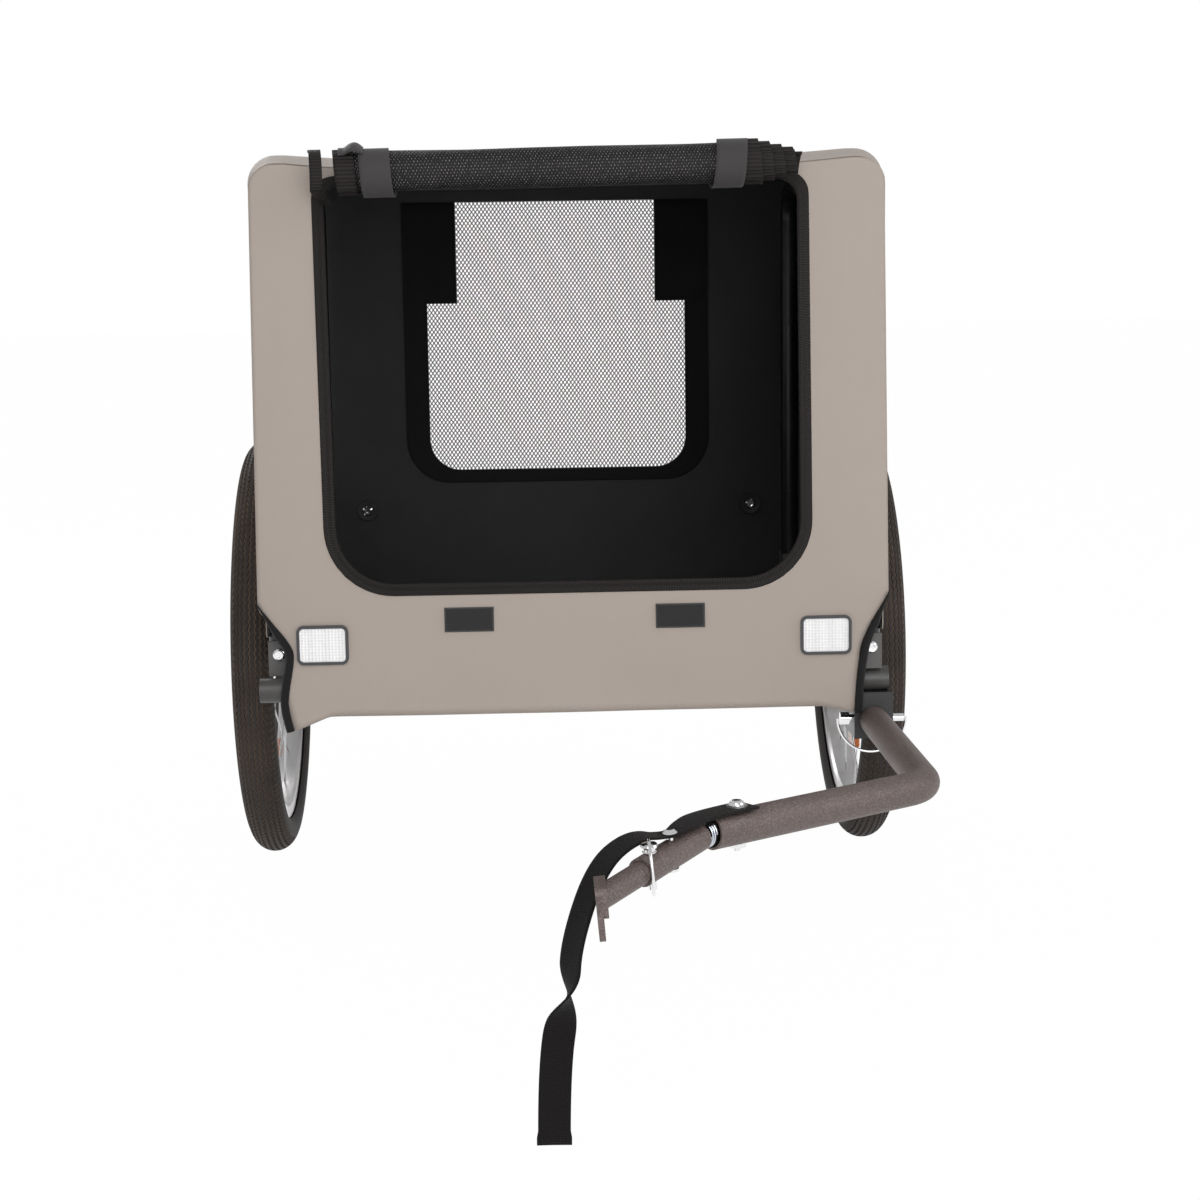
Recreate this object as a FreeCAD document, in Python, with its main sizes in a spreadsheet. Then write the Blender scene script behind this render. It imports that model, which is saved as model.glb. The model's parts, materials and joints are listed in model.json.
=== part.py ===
import FreeCAD
import Part
import math
import os

# Dog bike trailer: a tube base on two spoked wheels, two folding side hoops,
# a sewn cabin, and a tow arm with a sprung hitch.
# X points right, Y backwards, Z up. The work is laid out from the ground
# under the middle of the axle, and moved to the middle of the whole at the end.

V = FreeCAD.Vector

SIZES = {
    "wheel_radius": 250.0,
    "tyre_width": 47.0,
    "tyre_wall": 4.0,
    "half_track": 356.0,
    "rim_width": 31.0,
    "rim_lip_radius": 211.0,
    "rim_bed_radius": 194.0,
    "rim_wall": 3.0,
    "spoke_radius": 1.0,
    "spokes_per_side": 10,
    "spoke_hub_radius": 20.0,
    "spoke_lean_degrees": 52.0,
    "spoke_lace": 1.3,
    "hub_width": 44.0,
    "hub_radius": 16.0,
    "hub_flange_radius": 24.0,
    "hub_flange_wall": 3.0,
    "hub_flange_offset": 17.0,
    "bearing_radius": 13.0,
    "bearing_width": 8.0,
    "axle_radius": 6.0,
    "axle_head_radius": 9.0,
    "axle_head_wall": 3.0,
    "button_radius": 3.5,
    "button_length": 21.0,
    "button_stand": 5.0,
    "button_bore_depth": 24.0,
    "wheel_reflector_radius": 130.0,
    "wheel_reflector_wall": 7.6,
    "wheel_reflector_length": 46.0,
    "wheel_reflector_height": 18.0,
    "wheel_reflector_corner": 2.0,
    "running_clearance": 0.05,
    "base_tube": 25.0,
    "tube_wall": 1.5,
    "base_half_width": 300.0,
    "base_height": 275.0,
    "base_front": 440.0,
    "base_rear": 215.0,
    "cross_tube_half": 322.0,
    "floor_wall": 4.0,
    "floor_edge": 14.0,
    "hoop_tube": 22.0,
    "hoop_half_width": 303.0,
    "hoop_pivot_height": 310.0,
    "hoop_top_height": 797.0,
    "hoop_bend": 40.0,
    "hoop_foot": 14.0,
    "hoop_nest": 26.0,
    "bracket_wall": 3.0,
    "bracket_width": 22.0,
    "bracket_crown": 14.0,
    "side_gap": 0.3,
    "bolt_radius": 4.0,
    "bolt_head_radius": 7.0,
    "bolt_head_height": 4.0,
    "receiver_radius": 10.0,
    "receiver_inset": 14.0,
    "receiver_stand": 0.5,
    "axle_plate_wall": 4.0,
    "axle_plate_length": 56.0,
    "axle_plate_drop": 22.0,
    "cloth": 2.5,
    "cabin_half_width": 320.0,
    "cabin_clearance": 1.0,
    "roof_lift": 5.0,
    "shoulder_radius": 26.0,
    "front_hem_height": 249.0,
    "side_hem_height": 302.0,
    "side_notch_rise": 2.5,
    "panel_corner": 10.0,
    "hem_corner": 8.0,
    "side_notch_corner": 5.0,
    "rear_hem_height": 262.0,
    "notch_height": 362.0,
    "notch_depth": 28.0,
    "door_half_width": 249.0,
    "door_sill_height": 374.0,
    "door_head_drop": 27.5,
    "door_corner": 62.0,
    "zip_tape_width": 9.0,
    "zip_tape_stand": 1.5,
    "door_roll_half_length": 236.0,
    "door_roll_radius": 28.0,
    "door_roll_drop": 9.5,
    "roll_strap_offset": 182.0,
    "roll_strap_width": 30.0,
    "roll_strap_wall": 2.0,
    "patch_offset": 107.0,
    "patch_drop": 26.0,
    "patch_length": 50.0,
    "patch_width": 25.0,
    "patch_corner": 2.0,
    "reflector_offset": 255.0,
    "reflector_drop": 49.0,
    "reflector_length": 46.0,
    "reflector_width": 34.0,
    "reflector_frame": 3.0,
    "reflector_stand": 5.0,
    "lens_recess": 1.0,
    "lens_corner": 4.0,
    "window_half_width": 168.0,
    "window_sill_height": 440.0,
    "window_head_drop": 28.5,
    "window_corner": 40.0,
    "window_binding_side": 31.0,
    "window_binding_foot": 17.0,
    "mesh_wall": 0.8,
    "mesh_columns": 16,
    "mesh_rows": 18,
    "mesh_bar": 5.0,
    "tab_length": 130.0,
    "tab_width": 70.0,
    "tab_corner": 4.0,
    "washer_offset": 253.0,
    "washer_height": 388.0,
    "washer_radius": 14.0,
    "washer_wall": 4.0,
    "rear_reflector_height": 330.0,
    "side_window_front": 380.0,
    "side_window_rear": 150.0,
    "side_window_sill": 520.0,
    "side_window_head_drop": 75.5,
    "arm_tube": 30.0,
    "arm_wall": 2.0,
    "arm_offset": 306.0,
    "arm_height": 233.0,
    "arm_bend_reach": 748.0,
    "arm_bend_radius": 46.0,
    "arm_tip_offset": 92.0,
    "arm_tip_reach": 900.0,
    "socket_width": 40.0,
    "socket_length": 100.0,
    "socket_front": 454.0,
    "socket_floor": 214.0,
    "socket_gap": 0.2,
    "arm_pin_radius": 4.0,
    "arm_pin_back": 14.0,
    "arm_pin_stand": 13.0,
    "arm_pin_head_radius": 6.5,
    "arm_pin_head_length": 9.0,
    "bail_wire": 1.3,
    "bail_gap": 1.1,
    "flex_gap": 7.1,
    "flex_wire": 1.1,
    "flex_coil_radius": 11.0,
    "flex_turns": 3,
    "flex_pitch": 2.75,
    "flex_core_radius": 5.0,
    "flex_core_back": 10.0,
    "flex_core_front": 20.0,
    "flex_plug_length": 10.0,
    "hitch_tip_offset": 3.0,
    "hitch_tip_reach": 1014.0,
    "hitch_droop": 19.0,
    "swivel_tube": 24.0,
    "swivel_length": 85.0,
    "swivel_wall": 2.0,
    "stub_gap": 0.3,
    "stub_inside": 36.0,
    "coupler_wall": 5.0,
    "coupler_width": 34.0,
    "coupler_head": 13.0,
    "coupler_tail": 34.0,
    "coupler_tail_width": 24.0,
    "coupler_pad": 4.0,
    "coupler_turn": 52.0,
    "coupler_head_corner": 6.0,
    "coupler_neck_corner": 12.0,
    "coupler_tail_corner": 9.0,
    "bike_axle_hole": 5.25,
    "bike_axle_drop": 21.0,
    "hitch_pin_back": 14.0,
    "hitch_pin_radius": 3.5,
    "hitch_pin_stand": 8.0,
    "hitch_knob_grip": 2.5,
    "hitch_bail_turn": 38.0,
    "strap_width": 26.0,
    "strap_wall": 2.0,
    "strap_bolt_back": 36.0,
    "strap_bolt_radius": 3.0,
    "strap_washer_wall": 1.5,
    "rivet_spot": 48.0,
    "rivet_radius": 2.5,
    "rivet_head_radius": 6.0,
    "rivet_head_height": 3.0,
    "rivet_lift": 2.0,
    "rivet_play": 2.3,
    "rivet_foot": 2.5,
}

doc = FreeCAD.newDocument("DogBikeTrailer")
sheet = doc.addObject("Spreadsheet::Sheet", "Dimensions")
for row, (alias, value) in enumerate(SIZES.items(), start=1):
    sheet.set(f"A{row}", alias)
    sheet.set(f"B{row}", str(value))
    sheet.setAlias(f"B{row}", alias)
doc.recompute()

sub_parts = []
cord_parts = []


def size(alias):
    return float(sheet.get(alias))


def put(feature, prop, value):
    """Binds a property to the sheet where the value is an expression in its aliases."""
    if isinstance(value, str):
        words = value
        for alias in sorted(SIZES, key=len, reverse=True):
            words = words.replace(f"<{alias}>", f"Dimensions.{alias}")
        feature.setExpression(prop, words)
    else:
        setattr(feature, prop, value)


def aim(start, direction):
    return FreeCAD.Placement(start, FreeCAD.Rotation(V(0, 0, 1), direction))


def rod(name, radius, length, start, direction):
    bar = doc.addObject("Part::Cylinder", name)
    put(bar, "Radius", radius)
    put(bar, "Height", length)
    bar.Placement = aim(start, direction)
    return bar


def block(name, length, width, height, corner):
    box = doc.addObject("Part::Box", name)
    put(box, "Length", length)
    put(box, "Width", width)
    put(box, "Height", height)
    box.Placement.Base = corner
    return box


def fuse(name, *pieces):
    joined = doc.addObject("Part::MultiFuse", name)
    joined.Shapes = list(pieces)
    joined.Refine = True
    return joined


def cut(name, base, *tools):
    result = doc.addObject("Part::Cut", name)
    result.Base = base
    result.Tool = tools[0] if len(tools) == 1 else fuse(name + "Tools", *tools)
    return result


def group(name, *pieces):
    """Like pieces that share one node and stay separate solids."""
    cluster = doc.addObject("Part::Compound", name)
    cluster.Links = list(pieces)
    return cluster


def pipe(name, outer, inner, length, start, direction):
    shell = rod(name + "Outer", outer, length, start, direction)
    bore = rod(name + "Bore", inner, length, start, direction)
    return cut(name, shell, bore)


def sub_part(label, piece, cord=False):
    piece.Label = label
    sub_parts.append(piece)
    if cord:
        cord_parts.append(piece)
    return piece


def rounded(points, radii, place):
    """Closed or open outline: straight runs joined by tangent arcs, set in space by place(a, b)."""
    closed = len(radii) == len(points)
    count = len(points)
    edges = []
    last = None
    for index in range(count + 1 if closed else count):
        corner = place(*points[index % count])
        inner = closed or 0 < index < count - 1
        radius = 0.0
        if closed:
            radius = radii[index % count]
        elif inner:
            radius = radii[index - 1]
        if not inner or radius <= 0.0:
            entry = leave = corner
        else:
            before = (place(*points[(index - 1) % count]) - corner).normalize()
            after = (place(*points[(index + 1) % count]) - corner).normalize()
            half = before.getAngle(after) / 2
            reach = radius / math.tan(half)
            entry = corner + before * reach
            leave = corner + after * reach
            middle = (before + after).normalize()
            crown = corner + middle * (radius / math.sin(half) - radius)
        if last is not None and (entry - last).Length > 1e-6:
            edges.append(Part.LineSegment(last, entry).toShape())
        if closed and index == count:
            break
        if entry is not leave:
            edges.append(Part.Arc(entry, crown, leave).toShape())
        last = leave
    return Part.Wire(edges)


def profile(name, *wires):
    """A flat face whose later wires are its holes."""
    face = doc.addObject("Part::Feature", name)
    face.Shape = Part.makeFace(list(wires), "Part::FaceMakerBullseye")
    return face


def extrude(name, face, direction, thickness):
    sheet_metal = doc.addObject("Part::Extrusion", name)
    sheet_metal.Base = face
    sheet_metal.DirMode = "Custom"
    sheet_metal.Dir = direction
    put(sheet_metal, "LengthFwd", thickness)
    sheet_metal.Solid = True
    return sheet_metal


def sweep(name, wire, radius):
    path = doc.addObject("Part::Feature", name + "Path")
    path.Shape = wire
    start = wire.OrderedEdges[0]
    ring = doc.addObject("Part::Circle", name + "Ring")
    put(ring, "Radius", radius)
    ring.Placement = aim(start.valueAt(start.FirstParameter), start.tangentAt(start.FirstParameter))
    tube = doc.addObject("Part::Sweep", name)
    tube.Sections = [ring]
    tube.Spine = (path, [f"Edge{number + 1}" for number in range(len(wire.Edges))])
    tube.Solid = True
    return tube


def rectangle(centre_a, centre_b, length, width):
    half_a = length / 2
    half_b = width / 2
    return [
        (centre_a - half_a, centre_b - half_b),
        (centre_a + half_a, centre_b - half_b),
        (centre_a + half_a, centre_b + half_b),
        (centre_a - half_a, centre_b + half_b),
    ]


# Base frame: two cross tubes with two rails between them, and the floor board on top.
base_z = size("base_height")
base_r = size("base_tube") / 2
front_y = -size("base_front")
rear_y = size("base_rear")
rail_x = size("base_half_width")
base_outer = "<base_tube> / 2"
base_bore = "<base_tube> / 2 - <tube_wall>"
for name, y in (("front_cross_tube", front_y), ("rear_cross_tube", rear_y)):
    start = V(-size("cross_tube_half"), y, base_z)
    sub_part(name, pipe("Tube_" + name, base_outer, base_bore, "2 * <cross_tube_half>", start, V(1, 0, 0)))
for name, side in (("left_base_rail", -1), ("right_base_rail", 1)):
    start = V(side * rail_x, front_y, base_z)
    rail = pipe("Tube_" + name, base_outer, base_bore, "<base_front> + <base_rear>", start, V(0, 1, 0))
    saddles = []
    for y in (front_y, rear_y):
        cross_start = V(-size("cross_tube_half"), y, base_z)
        saddles.append(rod("Saddle", base_outer, "2 * <cross_tube_half>", cross_start, V(1, 0, 0)))
    sub_part(name, cut("Coped_" + name, rail, *saddles))

floor_z = base_z + base_r
floor_face = profile(
    "FloorOutline",
    rounded(
        rectangle(0, (front_y + rear_y) / 2, 2 * (rail_x - size("floor_edge")), rear_y - front_y),
        [size("floor_edge")] * 4,
        lambda x, y: V(x, y, floor_z),
    ),
)
sub_part("floor_panel", extrude("FloorBoard", floor_face, V(0, 0, 1), "<floor_wall>"))

# Side hoops: one bent tube each, on a bolt at either foot. The left hoop is the shorter one,
# so that it folds down inside the right one.
hoop_r = size("hoop_tube") / 2
pivot_z = size("hoop_pivot_height")
top_z = size("hoop_top_height")
hoop_x = size("hoop_half_width")
foot_z = pivot_z - size("hoop_foot")
bolt_bore = "<bolt_radius> + <running_clearance>"
leg_planes = {
    -1: (front_y + size("hoop_nest"), rear_y - size("hoop_nest")),
    1: (front_y, rear_y),
}
brackets = []
bolts = []
bracket_gap = hoop_r + size("side_gap")
bracket_depth = 2 * (bracket_gap + size("bracket_wall"))
for side, name in ((-1, "left"), (1, "right")):
    front_leg, rear_leg = leg_planes[side]
    route = rounded(
        [(front_leg, foot_z), (front_leg, top_z), (rear_leg, top_z), (rear_leg, foot_z)],
        [size("hoop_bend")] * 2,
        lambda y, z: V(side * hoop_x, y, z),
    )
    tube = sweep(name + "HoopTube", route, "<hoop_tube> / 2")
    bore = sweep(name + "HoopBore", route, "<hoop_tube> / 2 - <tube_wall>")
    axis_start = V(side * hoop_x, front_leg - 2 * hoop_r, pivot_z)
    axis_hole = rod(name + "HoopPivot", bolt_bore, rear_leg - front_leg + 4 * hoop_r, axis_start, V(0, 1, 0))
    sub_part(name + "_hoop", cut(name + "Hoop", tube, bore, axis_hole))
    for leg in (front_leg, rear_leg):
        corner = V(side * hoop_x - size("bracket_width") / 2, leg - bracket_depth / 2, floor_z)
        height = "<hoop_pivot_height> + <bracket_crown> - <base_height> - <base_tube> / 2"
        channel = block("Channel", "<bracket_width>", bracket_depth, height, corner)
        slot_corner = V(corner.x, leg - bracket_gap, floor_z + size("bracket_wall"))
        slot = block("ChannelSlot", "<bracket_width>", 2 * bracket_gap, height, slot_corner)
        hole_start = V(side * hoop_x, leg - bracket_depth, pivot_z)
        hole = rod("ChannelHole", bolt_bore, 2 * bracket_depth, hole_start, V(0, 1, 0))
        brackets.append(cut("CornerBracket", channel, slot, hole))
        shank_start = V(side * hoop_x, leg - bracket_depth / 2, pivot_z)
        shank_length = bracket_depth + size("bolt_radius")
        shank = rod("PivotShank", "<bolt_radius>", shank_length, shank_start, V(0, 1, 0))
        head = rod("PivotHead", "<bolt_head_radius>", "<bolt_head_height>", shank_start, V(0, -1, 0))
        nut_start = V(side * hoop_x, leg + bracket_depth / 2, pivot_z)
        nut = doc.addObject("Part::Prism", "PivotNut")
        nut.Polygon = 6
        put(nut, "Circumradius", "<bolt_head_radius>")
        put(nut, "Height", "<bolt_head_height>")
        nut.Placement = aim(nut_start, V(0, 1, 0))
        bolts.append(fuse("PivotBolt", shank, head, nut))
sub_part("corner_brackets", group("CornerBrackets", *brackets))
sub_part("pivot_bolts", group("PivotBolts", *bolts))

# Wheels: tyre, rim, crossed spokes and hub turn on a push-in axle held by a bracket on the rail.
axle_z = size("wheel_radius")
track = size("half_track")
hub_half = size("hub_width") / 2
for side, name in ((-1, "left"), (1, "right")):
    out = V(side, 0, 0)
    centre = V(side * track, 0, axle_z)
    carcass = doc.addObject("Part::Torus", name + "Carcass")
    put(carcass, "Radius1", "<wheel_radius> - <tyre_width> / 2")
    put(carcass, "Radius2", "<tyre_width> / 2")
    carcass.Placement = aim(centre, out)
    air = doc.addObject("Part::Torus", name + "Air")
    put(air, "Radius1", "<wheel_radius> - <tyre_width> / 2")
    put(air, "Radius2", "<tyre_width> / 2 - <tyre_wall>")
    air.Placement = aim(centre, out)
    well = rod(name + "Well", "<rim_lip_radius>", "<tyre_width>", centre - out * size("tyre_width") / 2, out)
    sub_part(name + "_tyre", cut(name + "Tyre", carcass, air, well))

    spokes = []
    per_side = int(size("spokes_per_side"))
    for number in range(2 * per_side):
        offset = 1 if number % 2 else -1
        lace = 1 if number % 4 < 2 else -1
        lean = math.radians(size("spoke_lean_degrees")) * lace
        angle = math.pi * number / per_side
        hub_angle = angle - lean
        hub_plane = centre + out * (offset * size("hub_flange_offset") + lace * size("spoke_lace"))
        hub_end = hub_plane + V(0, math.cos(hub_angle), math.sin(hub_angle)) * size("spoke_hub_radius")
        rim_reach = size("rim_bed_radius") + size("rim_wall")
        rim_end = centre + V(0, math.cos(angle), math.sin(angle)) * rim_reach
        run = rim_end - hub_end
        spokes.append(rod("Spoke", "<spoke_radius>", run.Length, hub_end, run))
    spoke_set = sub_part(name + "_spokes", group(name + "Spokes", *spokes))

    rim_half = size("rim_width") / 2
    lip = size("rim_lip_radius")
    bed = size("rim_bed_radius")
    wall = size("rim_wall")
    rim_points = [
        (-rim_half, bed + wall), (-rim_half + wall, bed), (rim_half - wall, bed), (rim_half, bed + wall),
        (rim_half, lip), (rim_half - wall, lip), (rim_half - wall, bed + wall),
        (-rim_half + wall, bed + wall), (-rim_half + wall, lip), (-rim_half, lip),
    ]
    rim_wire = Part.makePolygon([centre + V(a, 0, r) for a, r in rim_points + rim_points[:1]])
    hoop = doc.addObject("Part::Revolution", name + "RimHoop")
    hoop.Source = profile(name + "RimSection", rim_wire)
    hoop.Axis = V(1, 0, 0)
    hoop.Base = centre
    hoop.Angle = 360
    hoop.Solid = True
    sub_part(name + "_rim", cut(name + "Rim", hoop, *spokes))

    hub_start = centre - out * hub_half
    barrel = rod(name + "Barrel", "<hub_radius>", "<hub_width>", hub_start, out)
    flanges = []
    for offset in (-1, 1):
        middle = offset * size("hub_flange_offset") - size("hub_flange_wall") / 2
        flanges.append(
            rod("HubFlange", "<hub_flange_radius>", "<hub_flange_wall>", centre + out * middle, out))
    shell = fuse(name + "HubShell", barrel, *flanges)
    seats = [
        rod("BearingSeat", "<bearing_radius>", "<bearing_width>", hub_start, out),
        rod("BearingSeat", "<bearing_radius>", "<bearing_width>", centre + out * hub_half, out * -1),
        rod("AxleWay", "<axle_radius> + <axle_head_wall>", "<hub_width>", hub_start, out),
    ]
    sub_part(name + "_hub", cut(name + "Hub", shell, *seats, *spokes))
    rings = []
    for start, way in ((hub_start, out), (centre + out * hub_half, out * -1)):
        rings.append(pipe("Bearing", "<bearing_radius>", "<axle_radius> + <running_clearance>",
                          "<bearing_width>", start, way))
    sub_part(name + "_bearings", group(name + "Bearings", *rings))

    amber_corner = centre - V(size("wheel_reflector_wall") / 2, size("wheel_reflector_length") / 2,
                              size("wheel_reflector_radius") + size("wheel_reflector_height") / 2)
    amber = block(name + "Amber", "<wheel_reflector_wall>", "<wheel_reflector_length>",
                  "<wheel_reflector_height>", amber_corner)
    soft_amber = doc.addObject("Part::Fillet", name + "AmberFillet")
    soft_amber.Base = amber
    amber_round = size("wheel_reflector_corner")
    soft_amber.Edges = [(number, amber_round, amber_round) for number in (1, 3, 5, 7)]
    sub_part(name + "_wheel_reflector", soft_amber)

    plate_x = rail_x + base_r
    plate_low = axle_z - size("axle_plate_drop")
    plate_corner = V(plate_x if side > 0 else -plate_x - size("axle_plate_wall"),
                     -size("axle_plate_length") / 2, plate_low)
    plate = block(name + "AxlePlate", "<axle_plate_wall>", "<axle_plate_length>",
                  "<base_height> - <wheel_radius> + <axle_plate_drop>", plate_corner)
    sleeve_in = rail_x - size("receiver_inset")
    sleeve_out = track - hub_half - size("receiver_stand")
    sleeve_start = V(side * sleeve_in, 0, axle_z)
    sleeve = rod(name + "Sleeve", "<receiver_radius>", sleeve_out - sleeve_in, sleeve_start, out)
    way = rod(name + "SleeveBore", "<axle_radius> + <running_clearance>", "<half_track>",
              V(side * (sleeve_in - 1), 0, axle_z), out)
    carrier = fuse(name + "Carrier", plate, sleeve)
    sub_part(name + "_axle_bracket", cut(name + "AxleBracket", carrier, way))

    axle_tip = track + hub_half + size("receiver_stand")
    stem = rod(name + "AxleStem", "<axle_radius>", axle_tip - sleeve_in, V(side * sleeve_in, 0, axle_z), out)
    cap = rod(name + "AxleCap", "<axle_head_radius>", "<axle_head_wall>", V(side * axle_tip, 0, axle_z), out)
    pit_start = V(side * (axle_tip + size("axle_head_wall")), 0, axle_z)
    pit = rod(name + "ButtonBore", "<button_radius> + <running_clearance>", "<button_bore_depth>",
              pit_start, out * -1)
    sub_part(name + "_axle", cut(name + "Axle", fuse(name + "AxleBar", stem, cap), pit))
    button_end = V(side * (axle_tip + size("axle_head_wall") + size("button_stand")), 0, axle_z)
    button = rod(name + "ButtonRod", "<button_radius>", "<button_length>", button_end, out * -1)
    sub_part(name + "_axle_button", button)

# Cabin cloth: panels of coated cloth over the hoops, a notch for each front bracket.
cabin_x = size("cabin_half_width")
cloth = size("cloth")
bolt_reach = bracket_depth / 2 + size("bolt_head_height") + size("cabin_clearance")
panel_y = front_y - bolt_reach
back_y = rear_y + bolt_reach
roof_z = top_z + hoop_r + size("roof_lift")
crown_z = roof_z + cloth
notch_x = cabin_x - size("notch_depth")
front_outline = [
    (-cabin_x, crown_z), (cabin_x, crown_z),
    (cabin_x, size("notch_height")), (notch_x, size("notch_height") - 2 * size("notch_depth")),
    (notch_x, size("front_hem_height")), (-notch_x, size("front_hem_height")),
    (-notch_x, size("notch_height") - 2 * size("notch_depth")), (-cabin_x, size("notch_height")),
]
shoulder = size("shoulder_radius")
notch_round = size("notch_depth")
hem_round = size("hem_corner")
front_radii = [shoulder, shoulder, notch_round, notch_round, hem_round, hem_round, notch_round, notch_round]


def door_outline(grow, plane):
    half = size("door_half_width") + grow
    low = size("door_sill_height") - grow
    high = crown_z - size("door_head_drop") + grow
    middle = (low + high) / 2
    corner = size("door_corner") + grow
    return rounded(rectangle(0, middle, 2 * half, high - low),
                   [corner, corner, corner / 2, corner / 2],
                   lambda x, z: V(x, plane, z))


front_face = profile("FrontOutline",
                     rounded(front_outline, front_radii, lambda x, z: V(x, panel_y, z)),
                     door_outline(0, panel_y))
sub_part("front_panel", extrude("FrontPanel", front_face, V(0, -1, 0), "<cloth>"))
skin_y = panel_y - cloth
zip_face = profile("ZipOutline", door_outline(size("zip_tape_width"), skin_y), door_outline(0, skin_y))
sub_part("door_zip", extrude("DoorZip", zip_face, V(0, -1, 0), "<zip_tape_stand>"))

roof_length = back_y - panel_y
skirt_z = roof_z - shoulder
lining_x = cabin_x - cloth
roof_points = [(-cabin_x, skirt_z), (-cabin_x, crown_z), (cabin_x, crown_z), (cabin_x, skirt_z),
               (lining_x, skirt_z), (lining_x, roof_z), (-lining_x, roof_z), (-lining_x, skirt_z)]
inner_shoulder = shoulder - cloth
roof_wire = rounded(roof_points, [0, shoulder, shoulder, 0, 0, inner_shoulder, inner_shoulder, 0],
                    lambda x, z: V(x, panel_y, z))
sub_part("roof_panel", extrude("RoofPanel", profile("RoofOutline", roof_wire), V(0, 1, 0), roof_length))

for side, name in ((-1, "left"), (1, "right")):
    front_leg, rear_leg = leg_planes[side]
    panel_x = side * (hoop_x + hoop_r + size("side_gap"))
    panel_front = front_leg - hoop_r
    panel_back = rear_leg + hoop_r
    panel_top = roof_z - shoulder - size("cabin_clearance")
    hem = size("side_hem_height")
    notch_top = pivot_z + size("bracket_crown") + size("side_notch_rise")
    notch_front = front_leg + bracket_depth / 2 + size("cabin_clearance")
    notch_rear = rear_leg - bracket_depth / 2 - size("cabin_clearance")
    side_points = [(panel_front, notch_top), (notch_front, notch_top), (notch_front, hem),
                   (notch_rear, hem), (notch_rear, notch_top), (panel_back, notch_top),
                   (panel_back, panel_top), (panel_front, panel_top)]
    side_radii = [size("side_notch_corner")] * 6 + [size("panel_corner")] * 2
    wire = rounded(side_points, side_radii, lambda y, z: V(panel_x, y, z))
    window_top = crown_z - size("side_window_head_drop")
    gap = rounded(rectangle((size("side_window_rear") - size("side_window_front")) / 2,
                            (size("side_window_sill") + window_top) / 2,
                            size("side_window_rear") + size("side_window_front"),
                            window_top - size("side_window_sill")),
                  [size("window_corner")] * 4, lambda y, z: V(panel_x, y, z))
    sub_part(name + "_side_panel",
             extrude(name + "SidePanel", profile(name + "SideOutline", wire, gap), V(side, 0, 0), "<cloth>"))
    sub_part(name + "_side_mesh",
             extrude(name + "SideMesh", profile(name + "SideMeshOutline", gap), V(side, 0, 0), "<mesh_wall>"))

# Rear panel with its mesh window, the window's wide binding, tabs, washers and reflectors.
window_low = size("window_sill_height")
window_high = crown_z - size("window_head_drop")
window_x = size("window_half_width")


def window_outline():
    corner = size("window_corner")
    points = [(-window_x, window_low), (window_x, window_low),
              (window_x, window_high), (-window_x, window_high)]
    return rounded(points, [corner, corner, 0, 0], lambda x, z: V(x, back_y, z))


rear_points = [(-cabin_x, size("rear_hem_height")), (cabin_x, size("rear_hem_height")),
               (cabin_x, crown_z), (-cabin_x, crown_z)]
rear_radii = [size("panel_corner"), size("panel_corner"), shoulder, shoulder]
rear_wire = rounded(rear_points, rear_radii, lambda x, z: V(x, back_y, z))
rear_face = profile("RearOutline", rear_wire, window_outline())
sub_part("rear_panel", extrude("RearPanel", rear_face, V(0, 1, 0), "<cloth>"))

net_holes = []
columns = int(size("mesh_columns"))
rows = int(size("mesh_rows"))
net_bar = size("mesh_bar")
net_edge = size("window_corner") / 2
net_width = 2 * (window_x - net_edge) / columns
net_height = (window_high - window_low - 2 * net_edge) / rows
for row in range(rows):
    for column in range(columns):
        a = -window_x + net_edge + (column + 0.5) * net_width
        b = window_low + net_edge + (row + 0.5) * net_height
        corners = rectangle(a, b, net_width - net_bar, net_height - net_bar)
        net_holes.append(Part.makePolygon([V(x, back_y, z) for x, z in corners + corners[:1]]))
net_face = profile("NetOutline", window_outline(), *net_holes)
sub_part("rear_mesh", extrude("RearMesh", net_face, V(0, 1, 0), "<mesh_wall>"))

binding_x = window_x + size("window_binding_side")
binding_low = window_low - size("window_binding_foot")
binding_corner = size("window_corner") + size("window_binding_foot")
binding_points = [
    (-binding_x, binding_low), (binding_x, binding_low), (binding_x, window_high), (window_x, window_high),
    (window_x, window_low), (-window_x, window_low), (-window_x, window_high), (-binding_x, window_high),
]
binding_radii = [binding_corner, binding_corner, 0, 0, size("window_corner"), size("window_corner"), 0, 0]
binding_wire = rounded(binding_points, binding_radii, lambda x, z: V(x, back_y, z))
binding_face = profile("BindingOutline", binding_wire)
sub_part("window_binding", extrude("WindowBinding", binding_face, V(0, -1, 0), "<mesh_wall>"))
tabs = []
for side in (-1, 1):
    tab_x = side * (binding_x - size("tab_width") / 2)
    tab_z = window_high - size("tab_length") / 2
    tab_wire = rounded(rectangle(tab_x, tab_z, size("tab_width"), size("tab_length")),
                       [size("tab_corner")] * 4, lambda x, z: V(x, back_y - size("mesh_wall"), z))
    tabs.append(extrude("WindowTab", profile("TabOutline", tab_wire), V(0, -1, 0), "<cloth>"))
sub_part("window_tabs", group("WindowTabs", *tabs))

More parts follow.
